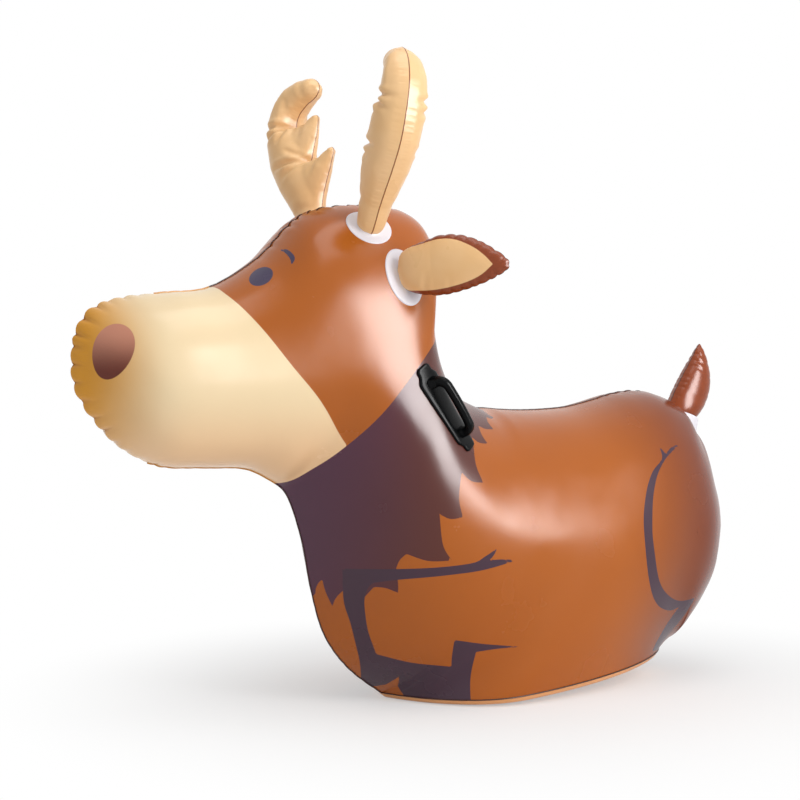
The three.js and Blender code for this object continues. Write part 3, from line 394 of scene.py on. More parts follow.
bodyGrid = evenOut(bodyGrid, bodyFilm["evenCell"], bodyFilm["evenBlur"])
along = np.where(isTop, topRun[:, None], -lowRun[:, None])
depthTop = lambda s: np.interp(np.interp(s, topRun, ribAt), *np.array(bodyFilm["topGathers"]).T)
depthLow = lambda s: np.interp(np.interp(-s, lowRun, ribAt), *np.array(bodyFilm["lowGathers"]).T)
bodyFolds = foldMarks(-lowRun[-1], topRun[-1], bodyFilm["gatherSpacing"],
                      lambda s: np.where(s < 0, depthLow(s), depthTop(s)), bodyFilm["gatherReach"], 5)
sink = gathers(along, inwards, bodyFolds)

# Print on the side panels: outlines made of strokes in side view, [y, z] in mm.
# The face marks lie in the plane that faces the viewer.
coatPrint = {
    "muzzle": [[[-553, 640], [-545, 598], [-541, 581], [-517, 542], [-480, 490], [-436, 441], [-385, 379]],
               [[-385, 379], [-407, 351], [-426, 330], [-446, 322], [-470, 312]],
               [[-470, 312], [-800, 300]], [[-800, 300], [-800, 640]], [[-800, 640], [-553, 640]]],
    "mane": [[[-190, 556], [-228, 540], [-263, 518], [-310, 471], [-358, 413], [-385, 379]],
             [[-385, 379], [-407, 351], [-426, 330], [-446, 322], [-470, 312]],
             [[-470, 312], [-450, 150]], [[-450, 150], [-378, 160]],
             [[-378, 160], [-379, 175], [-376, 186]], [[-376, 186], [-371, 168], [-362, 146]],
             [[-362, 146], [-361, 160], [-356, 172]], [[-356, 172], [-346, 170], [-338, 158]],
             [[-338, 158], [-330, 178]], [[-330, 178], [-318, 177], [-304, 170]],
             [[-304, 170], [-306, 182], [-312, 206]],
             [[-312, 206], [-310, 218], [-304, 227]], [[-304, 227], [-278, 217], [-247, 217]],
             [[-247, 217], [-262, 240], [-270, 284]], [[-270, 284], [-255, 276], [-236, 278]],
             [[-236, 278], [-242, 305], [-236, 341]], [[-236, 341], [-220, 328], [-198, 325]],
             [[-198, 325], [-207, 352], [-201, 389]], [[-201, 389], [-188, 381], [-168, 379]],
             [[-168, 379], [-174, 391], [-172, 405]], [[-172, 405], [-158, 400], [-137, 399]],
             [[-137, 399], [-140, 409], [-132, 417]], [[-132, 417], [-122, 414], [-110, 416]],
             [[-110, 416], [-116, 422], [-110, 430]], [[-110, 430], [-90, 434]],
             [[-90, 434], [-80, 560]], [[-80, 560], [-190, 556]]],
    "leg": [[[-362, 203], [-312, 205], [-260, 208], [-216, 213], [-200, 221], [-181, 232]],
            [[-181, 232], [-186, 222], [-195, 215]], [[-195, 215], [-175, 216], [-146, 214]],
            [[-146, 214], [-200, 202], [-251, 196], [-304, 190], [-332, 184]],
            [[-332, 184], [-336, 172], [-334, 150], [-322, 112], [-303, 76]],
            [[-303, 76], [-258, 63], [-213, 58]], [[-213, 58], [-219, 99]],
            [[-219, 99], [-172, 91], [-124, 86]], [[-124, 86], [-156, 84], [-186, 80]],
            [[-186, 80], [-187, 50], [-190, 0]], [[-190, 0], [-245, 2]], [[-245, 2], [-262, 40]],
            [[-262, 40], [-268, 24]], [[-268, 24], [-290, 22], [-322, 78], [-343, 126], [-354, 156], [-362, 203]]],
    "haunch": [[[160, 372], [160, 362], [155, 350], [127, 331], [104, 300], [91, 256], [98, 198], [119, 152],
                [150, 124], [190, 112], [213, 117]],
               [[213, 117], [200, 95], [180, 45]], [[180, 45], [212, 42]],
               [[212, 42], [232, 80], [246, 128]],
               [[246, 128], [210, 126], [176, 136], [144, 156], [125, 182], [112, 220], [109, 250], [116, 290],
                [134, 324], [160, 348], [185, 362], [209, 373]],
               [[209, 373], [186, 368], [168, 358]], [[168, 358], [160, 372]]],
    "viewAngle": 57,  # the face marks are drawn in the plane square to this direction
    "nose": {"centre": [-567, 505], "long": 37.5, "wide": 27.5, "tilt": -18, "egg": 0.12},
    "eye": {"centre": [-384, 612], "long": 17.2, "wide": 13.4, "tilt": -62, "egg": 0.0},
    "brow": [[[-362, 652], [-351, 652], [-342, 645], [-338, 637], [-342.5, 628]],
             [[-342.5, 628], [-345, 637], [-352, 646], [-362, 652]]],
}


def eggDistance(points, mark):
    turn = radians(mark["tilt"])
    d = points - np.array(mark["centre"], float)
    up = d[:, 1] * cos(turn) - d[:, 0] * sin(turn)
    side = d[:, 0] * cos(turn) + d[:, 1] * sin(turn)
    wide = mark["wide"] * (1 + mark["egg"] * up / mark["long"])
    return (1 - np.hypot(up / mark["long"], side / wide)) * mark["wide"]


def printNumbers(points):
    flat = points.reshape(-1, 3)
    side = flat[:, 1:]
    turn = radians(coatPrint["viewAngle"])
    face = np.stack([np.abs(flat[:, 0]) * cos(turn) + flat[:, 1] * sin(turn), flat[:, 2]], 1)
    out = {}
    for name in ("muzzle", "mane", "leg", "haunch"):
        out[name] = edgeDistance(side, strokeLine(coatPrint[name], 4))[0]
    out["line"] = np.maximum(out.pop("leg"), out.pop("haunch"))
    out["nose"] = eggDistance(face, coatPrint["nose"])
    front = np.where(flat[:, 1] < -250, 0, -50)  # only on the face
    brow = edgeDistance(face, strokeLine(coatPrint["brow"], 2))[0]
    out["eye"] = np.maximum(eggDistance(face, coatPrint["eye"]), brow) + front
    return {key: values.reshape(points.shape[:2]) for key, values in out.items()}


panelNumbers = printNumbers(bodyGrid)
panelNumbers["fromSeam"] = inwards
panelNumbers["sink"] = sink
print("print outlines measured on", bodyGrid.shape[0] * bodyGrid.shape[1], "points")


def sidePanel(name, side):
    piece = sheetFrom(name, bodyGrid * mirrored(side) * mm, panelNumbers)
    mergeDoubles(piece, 2e-5)
    faceTowards(piece, (side, 0, 0))
    points = readPoints(piece)
    normals = readNormals(piece)
    atSeam = np.abs(points[:, 0]) < 1e-5
    normals[atSeam, 0] = 0  # the two panels' edges stay together
    normals /= np.maximum(np.linalg.norm(normals, axis=1, keepdims=True), 1e-9)
    writePoints(piece, points - normals * getNumbers(piece, "sink")[:, None] * mm)
    smoothShade(piece)
    return piece


leftSide = sidePanel("leftSideFilm", 1)
rightSide = sidePanel("rightSideFilm", -1)
print("side panels:", len(leftSide.data.polygons), "faces each")


def skinTree(*pieces):
    points, faces, base = [], [], 0
    for piece in pieces:
        points += [piece.matrix_world @ v.co for v in piece.data.vertices]
        faces += [[base + k for k in p.vertices] for p in piece.data.polygons]
        base = len(points)
    return BVHTree.FromPolygons(points, faces)


skin = skinTree(leftSide, rightSide)

# The valve's stiff flange holds the right panel to the valve's own seat, and its neck goes through
valveSeat = {"centre": (-145.2, 244.7, 174.0), "out": (-0.927, 0.305, -0.22), "hole": 16,
             "level": 18, "held": 31, "fade": 75,  # distances from the valve's axis
             "under": 0.4, "above": 50, "depth": 60}
hole = Vector(valveSeat["centre"]) * mm
out = Vector(valveSeat["out"]).normalized()
seat = skinTree(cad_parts["right_side_panel"])
for v in rightSide.data.vertices:
    height = (v.co - hole).dot(out)
    foot = v.co - out * height
    aside = (foot - hole).length / mm
    if aside < valveSeat["fade"] and abs(height) < valveSeat["depth"] * mm:
        hit = seat.ray_cast(foot + out * valveSeat["above"] * mm, -out)[0] if aside > valveSeat["level"] else hole
        held = min(1, (valveSeat["fade"] - aside) / (valveSeat["fade"] - valveSeat["held"]))
        if hit:
            v.co += out * ((hit - hole).dot(out) - valveSeat["under"] * mm - height) * ease(held)
editMesh(rightSide, lambda: bpy.ops.mesh.select_all(action="DESELECT"))
for face in rightSide.data.polygons:
    face.select = (face.center - hole).length < valveSeat["hole"] * mm
bpy.ops.object.mode_set(mode="EDIT")
bpy.ops.mesh.select_mode(type="FACE")
bpy.ops.mesh.delete(type="FACE")
bpy.ops.object.mode_set(mode="OBJECT")

# Weld lip: the dark edge that stands along the middle seam, and a bead round the base seam
weldLip = {"size": (1.7, 1.0), "bead": (1.4, 1.6), "root": 0.8, "startRib": 3.7}


def lipAlong(name, line, out, across, size):  # a closed strip: line, outward and across directions, in mm
    height, half, root = size[0], size[1] / 2, weldLip["root"]
    corners = [(-root, -half), (height * 0.75, -half), (height, -half * 0.4), (height, half * 0.4),
               (height * 0.75, half), (-root, half), (-root, -half)]
    piece = sheetFrom(name, np.stack([line + out * h + across * w for h, w in corners], 1) * mm)
    mergeDoubles(piece, 1e-6, outward=True)
    smoothShade(piece)
    setNumbers(piece, "muzzle", edgeDistance(readPoints(piece)[:, 1:] / mm, strokeLine(coatPrint["muzzle"], 4))[0])
    return piece


def seamLine(column, rows):  # the seam after the gathers, its outward direction, both in mm
    line = bodyGrid[rows, column].copy()
    ridge = bodyGrid[rows, middle]
    out = line - ridge
    out[:, 0] = 0
    way = np.gradient(line, axis=0)
    way[:, 0] = 0
    way /= np.maximum(np.linalg.norm(way, axis=1, keepdims=True), 1e-9)
    out -= np.sum(out * way, 1, keepdims=True) * way
    out /= np.maximum(np.linalg.norm(out, axis=1, keepdims=True), 1e-9)
    return line - out * sink[rows, column][:, None], out


baseRows = np.where(onBase)[0]
across = np.array([[1.0, 0, 0]])
topLine, topOut = seamLine(0, np.arange(len(ribAt)))
frontLine, frontOut = seamLine(2 * middle, np.arange(baseRows[0] + 1))
rearLine, rearOut = seamLine(2 * middle, np.arange(baseRows[-1], len(ribAt)))
past = np.searchsorted(ribAt, weldLip["startRib"])  # the muzzle's own edge shows no lip
backLip = lipAlong("backSeamLip", topLine[past:], topOut[past:], across, weldLip["size"])
chestLip = lipAlong("chestSeamLip", frontLine[past:], frontOut[past:], across, weldLip["size"])
rearLip = lipAlong("rearSeamLip", rearLine, rearOut, across, weldLip["size"])
baseSeam = bodyGrid[baseRows, -1]
baseLoop = np.concatenate([baseSeam, (baseSeam * np.array([-1, 1, 1]))[::-1][1:]])
loopOut = baseLoop - np.array([0, bodyFilm["baseMiddle"], 0])
loopOut[:, 2] = 0
loopOut /= np.linalg.norm(loopOut, axis=1, keepdims=True)
baseLip = lipAlong("baseSeamBead", baseLoop, loopOut, np.array([[0, 0, 1.0]]), weldLip["bead"])
print("weld lips made")

# Base film: a shallow dish, flat where it stands
# each ring is [inset, share of the seam's height, how far the film rolls down under the weld in mm]
baseFilm = {"rings": [[0, 1, 0], [0.003, 1, 2.2], [0.01, 0.99, 4.4], [0.022, 0.97, 6], [0.045, 0.92, 7],
                      [0.08, 0.85, 7.3], [0.14, 0.74, 7.4],
                      [0.22, 0.58, 7], [0.32, 0.38, 5], [0.42, 0.18, 2.4], [0.5, 0.06, 0.8], [0.58, 0, 0], [0.8, 0, 0],
                      [0.995, 0, 0]]}
rings = []
for inset, lift, roll in baseFilm["rings"]:
    ring = baseLoop[:-1].copy()
    ring[:, 0] *= 1 - inset
    ring[:, 1] += (bodyFilm["baseMiddle"] - ring[:, 1]) * inset
    ring[:, 2] = np.maximum(0, (ring[:, 2] - 0.3) * lift - roll)
    rings.append(np.concatenate([ring, ring[:1]]))
basePanel = sheetFrom("baseFilm", np.stack(rings, 1) * mm)
mergeDoubles(basePanel, 1e-5, outward=True)
faceTowards(basePanel, (0, 0, -1))
smoothShade(basePanel)


# Bags: two films welded round their outline and blown up. Outlines are in the bag's own plane, [across, along] in mm.
antlerBag = {
    "origin": (80.63, -330.23, 696.71), "across": (0.8661, -0.2673, -0.4224), "along": (0.4384, 0, 0.8988),
    "face": (-0.2403, -0.9636, 0.1172),
    "outline": [[[-27, 104], [-46, 100], [-62, 103], [-72, 105], [-75, 97], [-62, 78], [-43, 55], [-27, 30], [-20, 0],
                 [-15.5, -15.5], [0, -21],
                 [15.5, -15.5], [20, 0], [22, 22], [28, 50], [37, 84], [43, 124], [37, 162], [23, 197], [2, 220],
                 [-20, 233],
                 [-45, 238], [-66, 233], [-79, 219], [-78, 205], [-66, 197], [-47, 196], [-30, 191], [-20, 183],
                 [-15, 172]],
                [[-15, 172], [-34, 167], [-50, 170], [-60, 170], [-62, 162], [-52, 142], [-38, 122], [-27, 104]]],
    "fullness": [[-22, 0.8], [0, 0.75], [25, 0.65], [240, 0.65]],
    # middle lines of the beam and the two tines: [across, along, half width, half thickness]
    "spines": [[[0, -2, 20, 20], [0, 22, 22, 22], [1, 50, 27, 27], [6, 86, 33, 32.5], [9, 123, 35, 35.5],
                [8, 158, 31, 35.5], [3, 186, 28, 33],
                [-8, 206, 26, 31], [-26, 215, 24, 27.7], [-45, 216, 21, 24], [-60, 214, 18, 19], [-73, 210, 9, 10]],
               [[-6, 72, 27, 23], [-40, 84, 19, 15], [-69, 98, 7, 7]],
               [[-4, 142, 25, 22], [-34, 152, 17, 13], [-56, 165, 7, 7]]],
    "rimRound": 33,
    "step": 2.6, "gatherSpacing": 17, "gatherDepth": 0.35, "gatherReach": 8, "seed": 3,
    # folds that run in from the notches: [from, to, depth share, half width]
    "folds": [[[-15, 174], [32, 186], 0.26, 4], [[-15, 172], [30, 164], 0.24, 4], [[-18, 170], [4, 146], 0.2, 3.5],
              [[-18, 182], [-30, 214], 0.12, 4],
              [[-27, 105], [26, 112], 0.26, 4], [[-27, 103], [12, 88], 0.22, 4], [[-28, 108], [-6, 132], 0.2, 3.5],
              [[-40, 168], [-26, 140], 0.2, 3.5], [[-50, 100], [-30, 74], 0.16, 3.5], [[-28, 24], [12, 34], 0.1, 5],
              [[24, 26], [-4, 30], 0.05, 5]],
}
earBag = {
    "origin": (127.62, -298.78, 624.95), "across": (-0.0734, -0.0532, 0.9959), "along": (0.8063, 0.5845, 0.0907),
    "face": (-0.587, 0.8096, 0),
    "outline": [[[0, -16], [-22, -11], [-32, 2], [-39, 23], [-42, 50], [-39, 78], [-33, 106], [-25, 130], [-17, 145],
                 [-9, 148], [-1, 144],
                 [10, 132], [27, 108], [39, 80], [42, 50], [36, 23], [30, 2], [21, -11], [0, -16]]],
    "fullness": [[-16, 0.72], [0, 0.62], [40, 0.52], [150, 0.52]],
    "step": 2.4, "gatherSpacing": 15, "gatherDepth": 1.9, "gatherReach": 8, "seed": 8,
    "folds": [[[-40, 60], [-18, 66], 0.05, 3.5], [[38, 84], [20, 80], 0.05, 3.5], [[-34, 24], [-6, 34], 0.05, 4]],
}
tailBag = {
    "origin": (0, 333.55, 423.72), "across": (0, 0.9536, -0.3011), "along": (0, 0.3011, 0.9536), "face": (1, 0, 0),
    "outline": [[[0, -22], [-19, -15.5], [-26, 0], [-23, 24], [-16, 50], [-8, 76], [-1, 98], [4, 117], [8, 122],
                 [13, 119],
                 [28, 100], [41, 76], [47, 50], [44, 24], [33, 0], [20, -15.5], [0, -22]]],
    "fullness": [[-22, 1.15], [0, 1.0], [30, 0.84], [120, 0.84]],
    "step": 2.2, "gatherSpacing": 14, "gatherDepth": 1.0, "gatherReach": 8, "seed": 11,
    "folds": [[[-2, 90], [16, 86], 0.12, 3], [[-6, 80], [12, 74], 0.08, 3], [[32, 94], [18, 88], 0.08, 3]],
}


def blowUp(bag):  # flat mesh of the outline and the half thickness at each point
    line = strokeLine(bag["outline"], bag["step"])
    low, high = line.min(0), line.max(0)
    s = bag["step"]
    grid = np.array([[low[0] + (i + 0.5 * (j % 2)) * s, low[1] + j * s * 0.866]
                     for j in range(int((high[1] - low[1]) / s / 0.866) + 2)
                     for i in range(int((high[0] - low[0]) / s) + 2)])
    grid = grid[edgeDistance(grid, line)[0] > 0.6 * s]
    flat = np.concatenate([line, grid])
    n = len(line)
    made = delaunay_2d_cdt([Vector(p) for p in flat], [(k, (k + 1) % n) for k in range(n)], [], 1, 1e-6)
    flat, faces = np.array([list(p) for p in made[0]]), [list(f) for f in made[2]]
    edges = np.array([list(e) for e in made[1]])
    edges = np.concatenate([edges, edges[:, ::-1]])
    weight = 1 / np.maximum(np.sum((flat[edges[:, 0]] - flat[edges[:, 1]]) ** 2, 1), 0.2)
    total = np.bincount(edges[:, 0], weight, len(flat))
    count = np.bincount(edges[:, 0], minlength=len(flat))
    inside, place = edgeDistance(flat, line)
    rim = np.abs(inside) < 1e-4
    height = np.zeros(len(flat))
    for _ in range(1400):  # a film under even pressure
        new = (np.bincount(edges[:, 0], weight * height[edges[:, 1]], len(flat)) + count / 4) / total
        height = np.where(rim, 0, new)
    thick = np.sqrt(2 * np.maximum(height, 0)) * np.interp(flat[:, 1], *np.array(bag["fullness"]).T)
    if "spines" in bag:
        thick = thick**5
        for spine in bag["spines"]:
            tube = np.zeros(len(flat))
            for a, b in zip(np.array(spine[:-1], float), np.array(spine[1:], float)):
                d = b - a
                f = np.clip(((flat - a[:2]) @ d[:2]) / (d[:2] @ d[:2]), 0, 1)
                far = np.hypot(*(flat - a[:2] - f[:, None] * d[:2]).T)
                wide, deep = a[2] + d[2] * f, a[3] + d[3] * f
                tube = np.maximum(tube, deep * np.sqrt(np.maximum(0, 1 - (far / wide) ** 2)))
            thick += tube**5
        thick = thick**0.2
        r = bag["rimRound"]
        edge = np.clip(inside, 0, r)
        thick = np.minimum(thick, np.sqrt(edge * (2 * r - edge)) + 0.3 * edge)
    run = np.sum(np.hypot(*(line - np.roll(line, -1, axis=0)).T))
    return {"line": line, "flat": flat, "faces": faces, "thick": thick, "inside": np.maximum(inside, 0), "place": place,
            "run": run}


def crease(bag, blown):  # gathers along the weld and folds from the notches
    flat, inside, place = blown["flat"].copy(), blown["inside"], blown["place"]
    marks = foldMarks(0, blown["run"], bag["gatherSpacing"], lambda s: bag["gatherDepth"] * np.ones_like(s),
                      bag["gatherReach"], bag["seed"])
    marks["depth"][-1], marks["reach"][-1] = marks["depth"][0], marks["reach"][0]
    rootward = np.clip((flat[:, 1] - 6) / 20, 0, 1)  # none inside the collar
    drop = gathers(place, inside, marks) * rootward
    line = blown["line"]
    step = np.hypot(*(line - np.roll(line, -1, axis=0)).T)
    starts = np.concatenate([[0], np.cumsum(step)[:-1]])
    k = np.clip(np.searchsorted(starts, place, side="right") - 1, 0, len(line) - 1)
    way = np.roll(line, -1, axis=0)[k] - line[k]
    way /= np.maximum(np.hypot(*way.T), 1e-9)[:, None]
    area = np.sum(line[:, 0] * np.roll(line[:, 1], -1) - np.roll(line[:, 0], -1) * line[:, 1])
    into = np.stack([-way[:, 1], way[:, 0]], 1) * (1 if area > 0 else -1)
    fade = np.exp(-((inside / bag["gatherReach"]) ** 2))
    flat += into * (drop * fade)[:, None]
    thick = np.maximum(blown["thick"] - drop * np.clip(inside / 4, 0, 1) * 0.9, 0)
    for a, b, share, width in bag["folds"]:
        a, b = np.array(a, float), np.array(b, float)
        d = b - a
        f = np.clip(((flat - a) @ d) / (d @ d), 0, 1)
        far = np.hypot(*(flat - a - f[:, None] * d).T)
        ripple = np.exp(-((far / width) ** 2)) - 0.35 * np.exp(-(((far - 2 * width) / width) ** 2))
        thick *= 1 - share * ripple * (1 - f) ** 0.7
    return flat, thick


def bagFilm(name, bag, blown, face, side):  # one film of the bag; face is 1 for the face direction and -1 for its back
    flat, thick = crease(bag, blown)
    o, e1, e2, e3 = (np.array(bag[k], float) for k in ("origin", "across", "along", "face"))
    points = o + flat[:, :1] * e1 + flat[:, 1:] * e2 + (thick * face)[:, None] * e3
    points *= mirrored(side)
    mesh = bpy.data.meshes.new(name)
    mesh.from_pydata((points * mm).tolist(), [], blown["faces"])
    piece = bpy.data.objects.new(name, mesh)
    bpy.context.scene.collection.objects.link(piece)
    setNumbers(piece, "fromSeam", np.hypot(blown["inside"], thick))
    setNumbers(piece, "across", flat[:, 0])
    setNumbers(piece, "along", flat[:, 1])
    faceTowards(piece, e3 * mirrored(side) * face)
    smoothShade(piece)
    return piece


antlerBlown, earBlown, tailBlown = blowUp(antlerBag), blowUp(earBag), blowUp(tailBag)
print("bags blown up:", len(antlerBlown["faces"]), len(earBlown["faces"]), len(tailBlown["faces"]), "faces a film")

# Collars: white film rings that lie on the skin and turn up to the root that stands in them
collarFilm = {
    "antler": {"bag": antlerBag, "normal": (0.7328, -0.0831, 0.6754), "halfA": 34, "halfC": 34, "rootA": 22,
               "rootC": 22, "rise": 13},
    "ear": {"bag": earBag, "normal": (0.9125, 0.0141, 0.4089), "halfA": 44, "halfC": 29, "rootA": 31, "rootC": 16,
            "rise": 15.5, "shift": -4},
    "tail": {"bag": tailBag, "normal": (0, 0.6471, 0.7624), "halfA": 45, "halfC": 39, "rootA": 27, "rootC": 22,
             "rise": 14},
    "spokes": 72, "rings": 9, "lift": 0.7, "turnUp": 3.2,
}


def collar(name, kind, side):
    c = collarFilm[kind]
    o = np.array(c["bag"]["origin"], float)
    up = np.array(c["normal"], float)
    a = np.array(c["bag"]["across"], float)
    a -= up * (a @ up)
    a /= np.linalg.norm(a)
    w = np.cross(a, up)
    o = o + a * c.get("shift", 0)
    shrink = np.sqrt(max(0.1, 1 - (c["rise"] / max(c["rootC"], c["rise"] + 2)) ** 2))
    profile = [(k / collarFilm["rings"],
                0) for k in range(collarFilm["rings"] + 1)] + [(1.0, 1)]  # the last turns under
    inner = np.array([c["rootA"], c["rootC"]]) * (shrink - 0.06)
    outer = np.array([c["halfA"], c["halfC"]])
    rows = []
    for i in range(collarFilm["spokes"] + 1):
        turn = 2 * pi * i / collarFilm["spokes"]
        row = []
        for k, under in profile:
            ra, rc = inner + (outer - inner) * k
            start = o + a * ra * cos(turn) + w * rc * sin(turn)
            hit = skin.ray_cast(Vector((start + up * 40) * mm), Vector(-up))[0]
            base = np.array(hit) / mm if hit else start - up * c["rise"]
            turnUp = collarFilm["turnUp"] * max(0, 1 - k / 0.45) ** 2
            row.append(base + up * (0.1 * collarFilm["lift"] if under else collarFilm["lift"] + turnUp))
        rows.append(row)
    piece = sheetFrom(name, np.array(rows) * mirrored(side) * mm)
    mergeDoubles(piece, 1e-6)
    faceTowards(piece, up * mirrored(side))
    smoothShade(piece)
    return piece


# The tail collar's inner edge stands up round the root; the profile is [height, share of the half sizes]
sleeveFilm = {"middle": 3.5, "halfA": 33, "halfC": 26.5, "spokes": 72,
              "profile": [(-30, 1.02), (-20, 1.02), (-12, 1.01), (-7, 1.0), (-5, 0.985), (-4.8, 0.96), (-7, 0.94)]}


def tailSleeve(name):
    t = sleeveFilm
    o, e1, e2, e3 = (np.array(tailBag[k], float) for k in ("origin", "across", "along", "face"))
    rows = []
    for turn in np.linspace(0, 2 * pi, t["spokes"] + 1):
        a, c = t["halfA"] * cos(turn), t["halfC"] * sin(turn)
        rows.append([o + e1 * (t["middle"] + a * k) + e3 * c * k + e2 * b for b, k in t["profile"]])
    piece = sheetFrom(name, np.array(rows) * mm)
    mergeDoubles(piece, 1e-6)
    outside = readPoints(piece) / mm - o
    outside -= np.outer(outside @ e2, e2)
    faceTowards(piece, outside)
    smoothShade(piece)
    return piece


# Handles: a moulded plate welded on the neck and a grip on two feet
handleVinyl = {
    "origin": (148.75, -250.53, 430.86), "along": (0.0133, 0.5572, -0.8303), "out": (0.9523, 0.246, 0.1803),
    "across": (0.3048, -0.7931, -0.5273),
    "plateLength": 140, "plateWidth": 40, "plateThickness": 3.4, "tabLength": 16, "tabWidth": 26, "corner": 7,
    "edge": 2.2,
    "span": 84, "height": 25, "bar": (5.6, 6.0), "foot": (9.5, 8), "bend": 13,
}


def handleSkin(a, c):  # height of the skin under a point of the plate
    h = handleVinyl
    o, e1, e2, e3 = (np.array(h[k], float) for k in ("origin", "along", "out", "across"))
    start = o + e1 * a + e3 * c
    hit = skin.ray_cast(Vector((start + e2 * 60) * mm), Vector(-e2))[0]
    return (np.array(hit) / mm - start) @ e2


def handlePoint(a, b, c, side):
    h = handleVinyl
    o, e1, e2, e3 = (np.array(h[k], float) for k in ("origin", "along", "out", "across"))
    return (o + e1 * a + e2 * b + e3 * c) * mirrored(side) * mm


def plateHalfWidth(a):
    h = handleVinyl
    left = h["plateLength"] / 2 - abs(a)
    t = np.clip((left - 0.6 * h["tabLength"]) / (0.8 * h["tabLength"]), 0, 1)
    half = (h["tabWidth"] + (h["plateWidth"] - h["tabWidth"]) * ease(t)) / 2
    corner = h["corner"]
    return half - (corner - np.sqrt(max(0, corner**2 - (corner - left) ** 2)) if left < corner else 0)


def handlePlate(name, side):
    h = handleVinyl
    e = h["edge"]
    wall = [(0.1, 0), (0.45, 0), (0.8, 0.35), (1, 1)]  # height and inset, each a share
    top = [(k, 1.06, 1) for k in np.linspace(-0.75, 0.75, 9)]
    section = [(-1, *w) for w in wall] + top + [(1, *w) for w in wall[::-1]]
    ends = h["plateLength"] / 2 - np.array([0, 0.25, 0.9, 2, 3.6, 5.5, 8, 11, 14, 17, 20, 24])
    stops = np.concatenate([-ends, np.linspace(-44, 44, 30), ends[::-1]])
    rows = []
    for a in stops:
        half = plateHalfWidth(a)
        left = h["plateLength"] / 2 - abs(a)
        end = np.clip(left / e, 0, 1)
        fall = 0.25 + 0.75 * np.sqrt(end * (2 - end))  # the plate rounds off at its two ends
        row = []
        for s, lift, inset in section:
            c = np.sign(s) * max(0, half - e * inset) if abs(s) == 1 else s * max(0, half - e)
            row.append(handlePoint(a, handleSkin(a, c) + 0.3 + h["plateThickness"] * lift * fall, c, side))
        rows.append(row)
    piece = sheetFrom(name, np.array(rows))
    faceTowards(piece, (side, 0, 0))
    smoothShade(piece)
    return piece


def handleGrip(name, side):
    h = handleVinyl
    half, top, bend = h["span"] / 2, h["height"], h["bend"]
    path = [[-half, b, f] for b, f in ((2.5, 1.25), (4, 1.02), (6, 0.85), (9, 0.66), (top - bend, 0.4))]
    for t in np.linspace(0.1, 1, 10):
        turn = pi - t * pi / 2
        path.append([-half + bend + bend * cos(turn), top - bend + bend * sin(turn), 0.4 * (1 - t)])
    path += [[a, top + 1.2 * cos(a / 20), 0] for a in np.linspace(-half + bend + 3, 0, 9)]
    path = np.array(path + [[-a, b, f] for a, b, f in path[-2::-1]])
    rows = []
    for i, (a, b, foot) in enumerate(path):
        way = path[min(i + 1, len(path) - 1), :2] - path[max(i - 1, 0), :2]
        way /= np.hypot(*way)
        wide = h["bar"][0] + (h["foot"][0] - h["bar"][0]) * foot
        deep = h["bar"][1] + (h["foot"][1] - h["bar"][1]) * foot
        row = []
        for k in range(33):
            turn = 2 * pi * k / 32
            x, y = cos(turn), sin(turn)
            squarer = (abs(x) ** 3 + abs(y) ** 3) ** (-1 / 3)  # a rounded square section
            row.append(handlePoint(a + way[1] * deep * y * squarer, b - way[0] * deep * y * squarer, wide * x * squarer,
                                   side))
        rows.append(row)
    piece = sheetFrom(name, np.array(rows))
    mergeDoubles(piece, 1e-6, outward=True)
    smoothShade(piece)
    return piece


# Materials

def filmFinish(material, colour, roughness, bumpSize, bumpHeight):
    # calendered PVC film blown tight: a broad soft sheen and slow waves in the surface
    place = addNode(material, "ShaderNodeTexCoord").outputs["Object"]
    waves = addNode(material, "ShaderNodeTexNoise", {"Vector": place, "Scale": 1000 / bumpSize, "Detail": 3.0,
                                                     "Roughness": 0.45})
    handling = addNode(material, "ShaderNodeTexNoise", {"Vector": place, "Scale": 1000 / 90, "Detail": 4.0})
    gloss = addNode(material, "ShaderNodeMapRange", {"Value": handling.outputs["Fac"], "From Min": 0.3, "From Max": 0.7,
                                                     "To Min": roughness - 0.05, "To Max": roughness + 0.05})
    grain = addNode(material, "ShaderNodeTexNoise", {"Vector": place, "Scale": 1000 / 2.5, "Detail": 2.0})
    fine = addNode(material, "ShaderNodeBump", {"Height": grain.outputs["Fac"], "Distance": 0.00004, "Strength": 0.5})
    bump = addNode(material, "ShaderNodeBump", {"Height": waves.outputs["Fac"], "Distance": bumpHeight * mm,
                                                "Strength": 0.6, "Normal": fine.outputs["Normal"]})
    shader = addNode(material, "ShaderNodeBsdfPrincipled", {"Base Color": colour, "Roughness": gloss.outputs["Result"],
                                                            "IOR": 1.5, "Specular IOR Level": 0.36,
                                                            "Normal": bump.outputs["Normal"]})
    addNode(material, "ShaderNodeOutputMaterial", {"Surface": shader.outputs["BSDF"]})


def inkOver(material, under, number, low, high, colour):
    # one printed ink, where a number of the mesh passes from low to high
    value = addNode(material, "ShaderNodeAttribute", attribute_name=number).outputs["Fac"]
    share = addNode(material, "ShaderNodeMapRange", {"Value": value, "From Min": low, "From Max": high})
    mix = addNode(material, "ShaderNodeMix", {0: share.outputs["Result"], 6: under, 7: colour}, data_type="RGBA")
    return mix.outputs[2]


# the rump, muzzle front, muzzle low and muzzle fold inks are painted shade, and the nose top ink is a painted highlight
coatInks = {"brown": "#B45E08", "brownDeep": "#AA570A", "brownRumpShade": "#6E2702", "muzzle": "#F8DFB4",
            "muzzleFrontShade": "#E09A24", "muzzleLowShade": "#F6CB9C",
            "muzzleCreaseShade": "#C47E28", "mane": "#59281F", "maneLow": "#522A42", "line": "#432A3A",
            "nose": "#6A240A", "noseTopHighlight": "#CF8C72", "eye": "#3E3350", "seam": "#3A1A14"}


